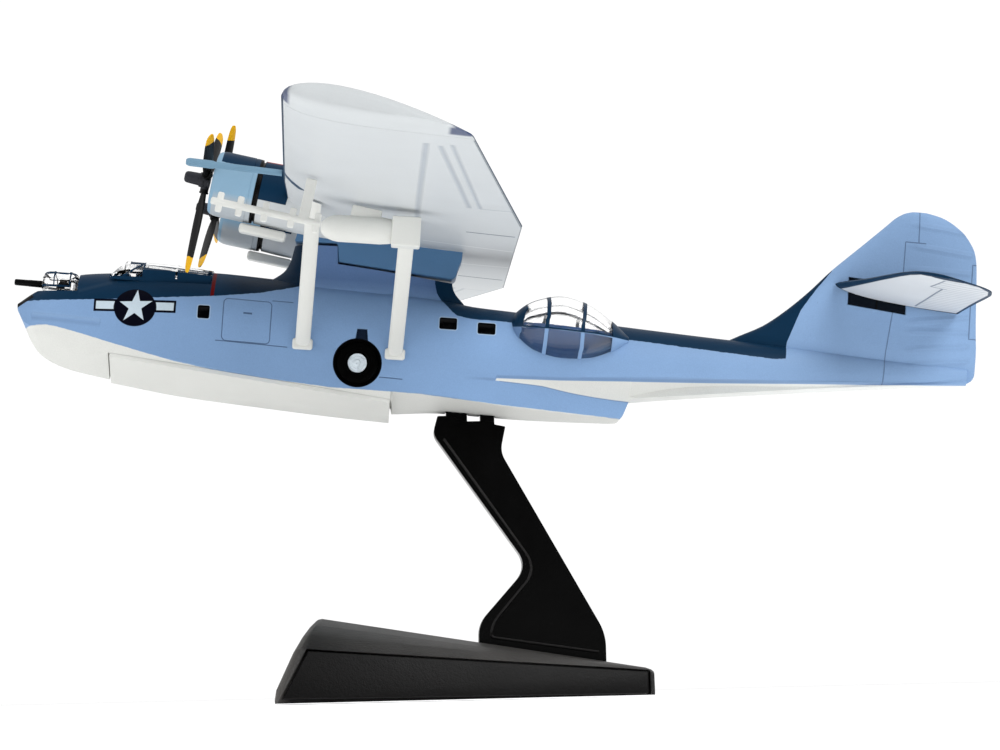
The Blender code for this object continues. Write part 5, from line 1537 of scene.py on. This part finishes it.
def make_stand(gloss, grain, plain_grain):
    arm = plank("arm_moulding", rounded(ARM_CORNERS), -0.5 * ARM_THICK, 0.5 * ARM_THICK, STAND)
    for x0, x1, top in ARM_PEGS:
        carve(arm, block("peg", (x1 - x0, PEG_THICK, 5.0), (0.5 * (x0 + x1), 0.0, top - 2.5), STAND), "UNION")
    soften(arm, 0.28, 3, 35.0)
    dress(arm, gloss, ["stand_arm"], angle=12.0)
    path = [Vector(p) for p in rounded(BEAD_PATH)]
    for side, sign in SIDES.items():
        trim = bead("arm_bead_" + side, path, sign * 0.5 * ARM_THICK, 0.22, STAND)
        dress(trim, gloss, angle=60.0)
    rings = []
    for reach, inset in BASE_RINGS:
        t = reach / (BASE_LENGTH[1] - BASE_LENGTH[0])
        x = BASE_LENGTH[0] + reach
        half = [(x, 0.0, 0.0)]
        for (y0, z0), (y1, z1), lean in zip(BASE_FRONT, BASE_BACK, BASE_FRONT_LEAN):
            z = z0 + (z1 - z0) * t
            half.append((x + lean - lean * t, y0 + (y1 - y0) * t - inset,
                         max(0.0, z - 0.6 * inset * min(1.0, z / 4.0))))
        half.append((half[-1][0], 0.0, half[-1][2]))
        rings.append(mirrored(half))
    base = skin("base_moulding", rings, STAND)
    carve(base, plate_form("plate_room", GAP, (-1.5, PLATE_THICK + GAP)))
    soften(base, 0.3, 3, 25.0)
    dress(base, grain, ["stand_base"], angle=30.0)
    plate = plate_form("bare_nameplate", 0.0, (0.0, PLATE_THICK))
    soften(plate, 0.15, 3, 30.0)
    dress(plate, plain_grain, ["stand_nameplate"], angle=30.0)


def plate_form(name, grow, depth):
    """Slab on the base's port face between two depths, grown along its edges."""
    def at(part, level):
        ends = []
        for outline, x, leans in ((BASE_FRONT, BASE_LENGTH[0], BASE_FRONT_LEAN),
                                  (BASE_BACK, BASE_LENGTH[1], (0.0,) * len(BASE_BACK))):
            low, high = [Vector((x + leans[k], -outline[k][0], outline[k][1])) for k in FACE_LEVELS]
            ends.append(low.lerp(high, level))
        return ends[0].lerp(ends[1], part)
    outward = (at(1.0, 0.0) - at(0.0, 0.0)).cross(at(0.0, 1.0) - at(0.0, 0.0)).normalized()
    corners = [at(*corner) for corner in PLATE_CORNERS]
    for low, high, side in ((0, 3, -1.2), (1, 2, 1.2)):
        edge = (corners[high] - corners[low]).normalized()
        corners[low] += Vector((side * grow, 0.0, 0.0)) - edge * 4.0 * grow
        corners[high] += Vector((side * grow, 0.0, 0.0)) + edge * grow
    return skin(name, [[p - outward * d for p in corners] for d in depth], STAND)


# Studio

def make_studio():
    let_go()
    bpy.ops.mesh.primitive_plane_add(size=6.0, location=(0.0, 0.0, -0.0002))
    floor = bpy.context.object
    floor.name = "studio_floor"
    paper = Paint("white_paper", Specular_IOR_Level=0.1)
    fibres = paper.noise(0.4, 4.0)
    paper.set(Base_Color=paper.mix(fibres, tone(250, 250, 250), tone(254, 254, 254)),
              Roughness=0.9 + fibres * 0.05, Emission_Color=tone(255, 255, 255), Emission_Strength=0.3)
    floor.data.materials.append(paper.material)
    world = bpy.data.worlds.new("white_studio")
    bpy.context.scene.world = world
    world.use_nodes = True
    sky = Nodes(world.node_tree)
    _, back, height = sky.split(sky.node("TexCoord", output="Generated"))
    behind = sky.node("MapRange", {"interpolation_type": "SMOOTHSTEP"}, {0: back, 1: -0.75, 2: 0.1})
    through = sky.node("LightPath", output="Is Transmission Ray")
    seen = sky.node("LightPath", output="Is Camera Ray")
    glow = behind * (0.5 + through * 0.55) + 0.04 + (height | 0.0) * 0.4
    backdrop = world.node_tree.nodes["Background"]
    backdrop.inputs["Color"].default_value = (1.0, 1.0, 1.0, 1.0)
    sky.feed(backdrop.inputs["Strength"], seen * 1.05 + (1.0 - seen) * glow)
    for name, spot, size, watts in SOFTBOXES:
        bpy.ops.object.light_add(type="AREA", location=spot)
        lamp = bpy.context.object
        lamp.name = name
        lamp.data.size = size
        lamp.data.energy = watts
        aim = Vector((0.0, 0.0, 0.04)) - Vector(spot)
        lamp.rotation_euler = aim.to_track_quat("-Z", "Y").to_euler()
    bpy.context.scene.view_settings.view_transform = "Standard"


def make_camera():
    look = Vector(CAMERA_LOOK).normalized()
    right = look.cross(Vector((0.0, 0.0, 1.0))).normalized()
    up = right.cross(look)
    c, s = math.cos(CAMERA_ROLL), math.sin(CAMERA_ROLL)
    turn = Matrix((right * c - up * s, up * c + right * s, -look)).transposed().to_4x4()
    lens = bpy.data.cameras.new("bench_camera")
    lens.sensor_width = SENSOR_WIDTH
    lens.lens = CAMERA_LENS
    lens.clip_start = 0.01
    camera = bpy.data.objects.new("bench_camera", lens)
    camera.matrix_world = Matrix.Translation(CAMERA_SPOT) @ turn
    bpy.context.scene.collection.objects.link(camera)
    bpy.context.scene.camera = camera


hull_paint = craft_scheme()
white_paint = plain_paint("under_white_paint", UNDER_WHITE)
wing_paint = wing_scheme()
clear = clear_plastic()
make_hull(hull_paint)
make_keel_insert(white_paint)
make_blisters(clear, frame_scheme())
dark_frames = plain_paint("canopy_frame_paint", SEA_BLUE)
make_canopy(clear, dark_frames)
make_turret(clear, dark_frames, plain_paint("gun_black", tone(5, 5, 6), 0.4))
make_wing(wing_paint)
make_tip_floats(wing_paint)
make_engines(cowl_scheme(), engine_scheme(), white_paint)
make_propellers(prop_scheme())
make_struts(white_paint)
make_wheels(tyre_rubber(), hub_finish())
make_fittings(white_paint, plain_paint("pitot_blue_paint", tone(112, 145, 168)))
make_stabilizers(stabilizer_scheme())
base_paint = grained_black("grained_black_plastic", True)
make_stand(gloss_black(), base_paint, grained_black("plate_black_plastic", False))
make_studio()
make_camera()
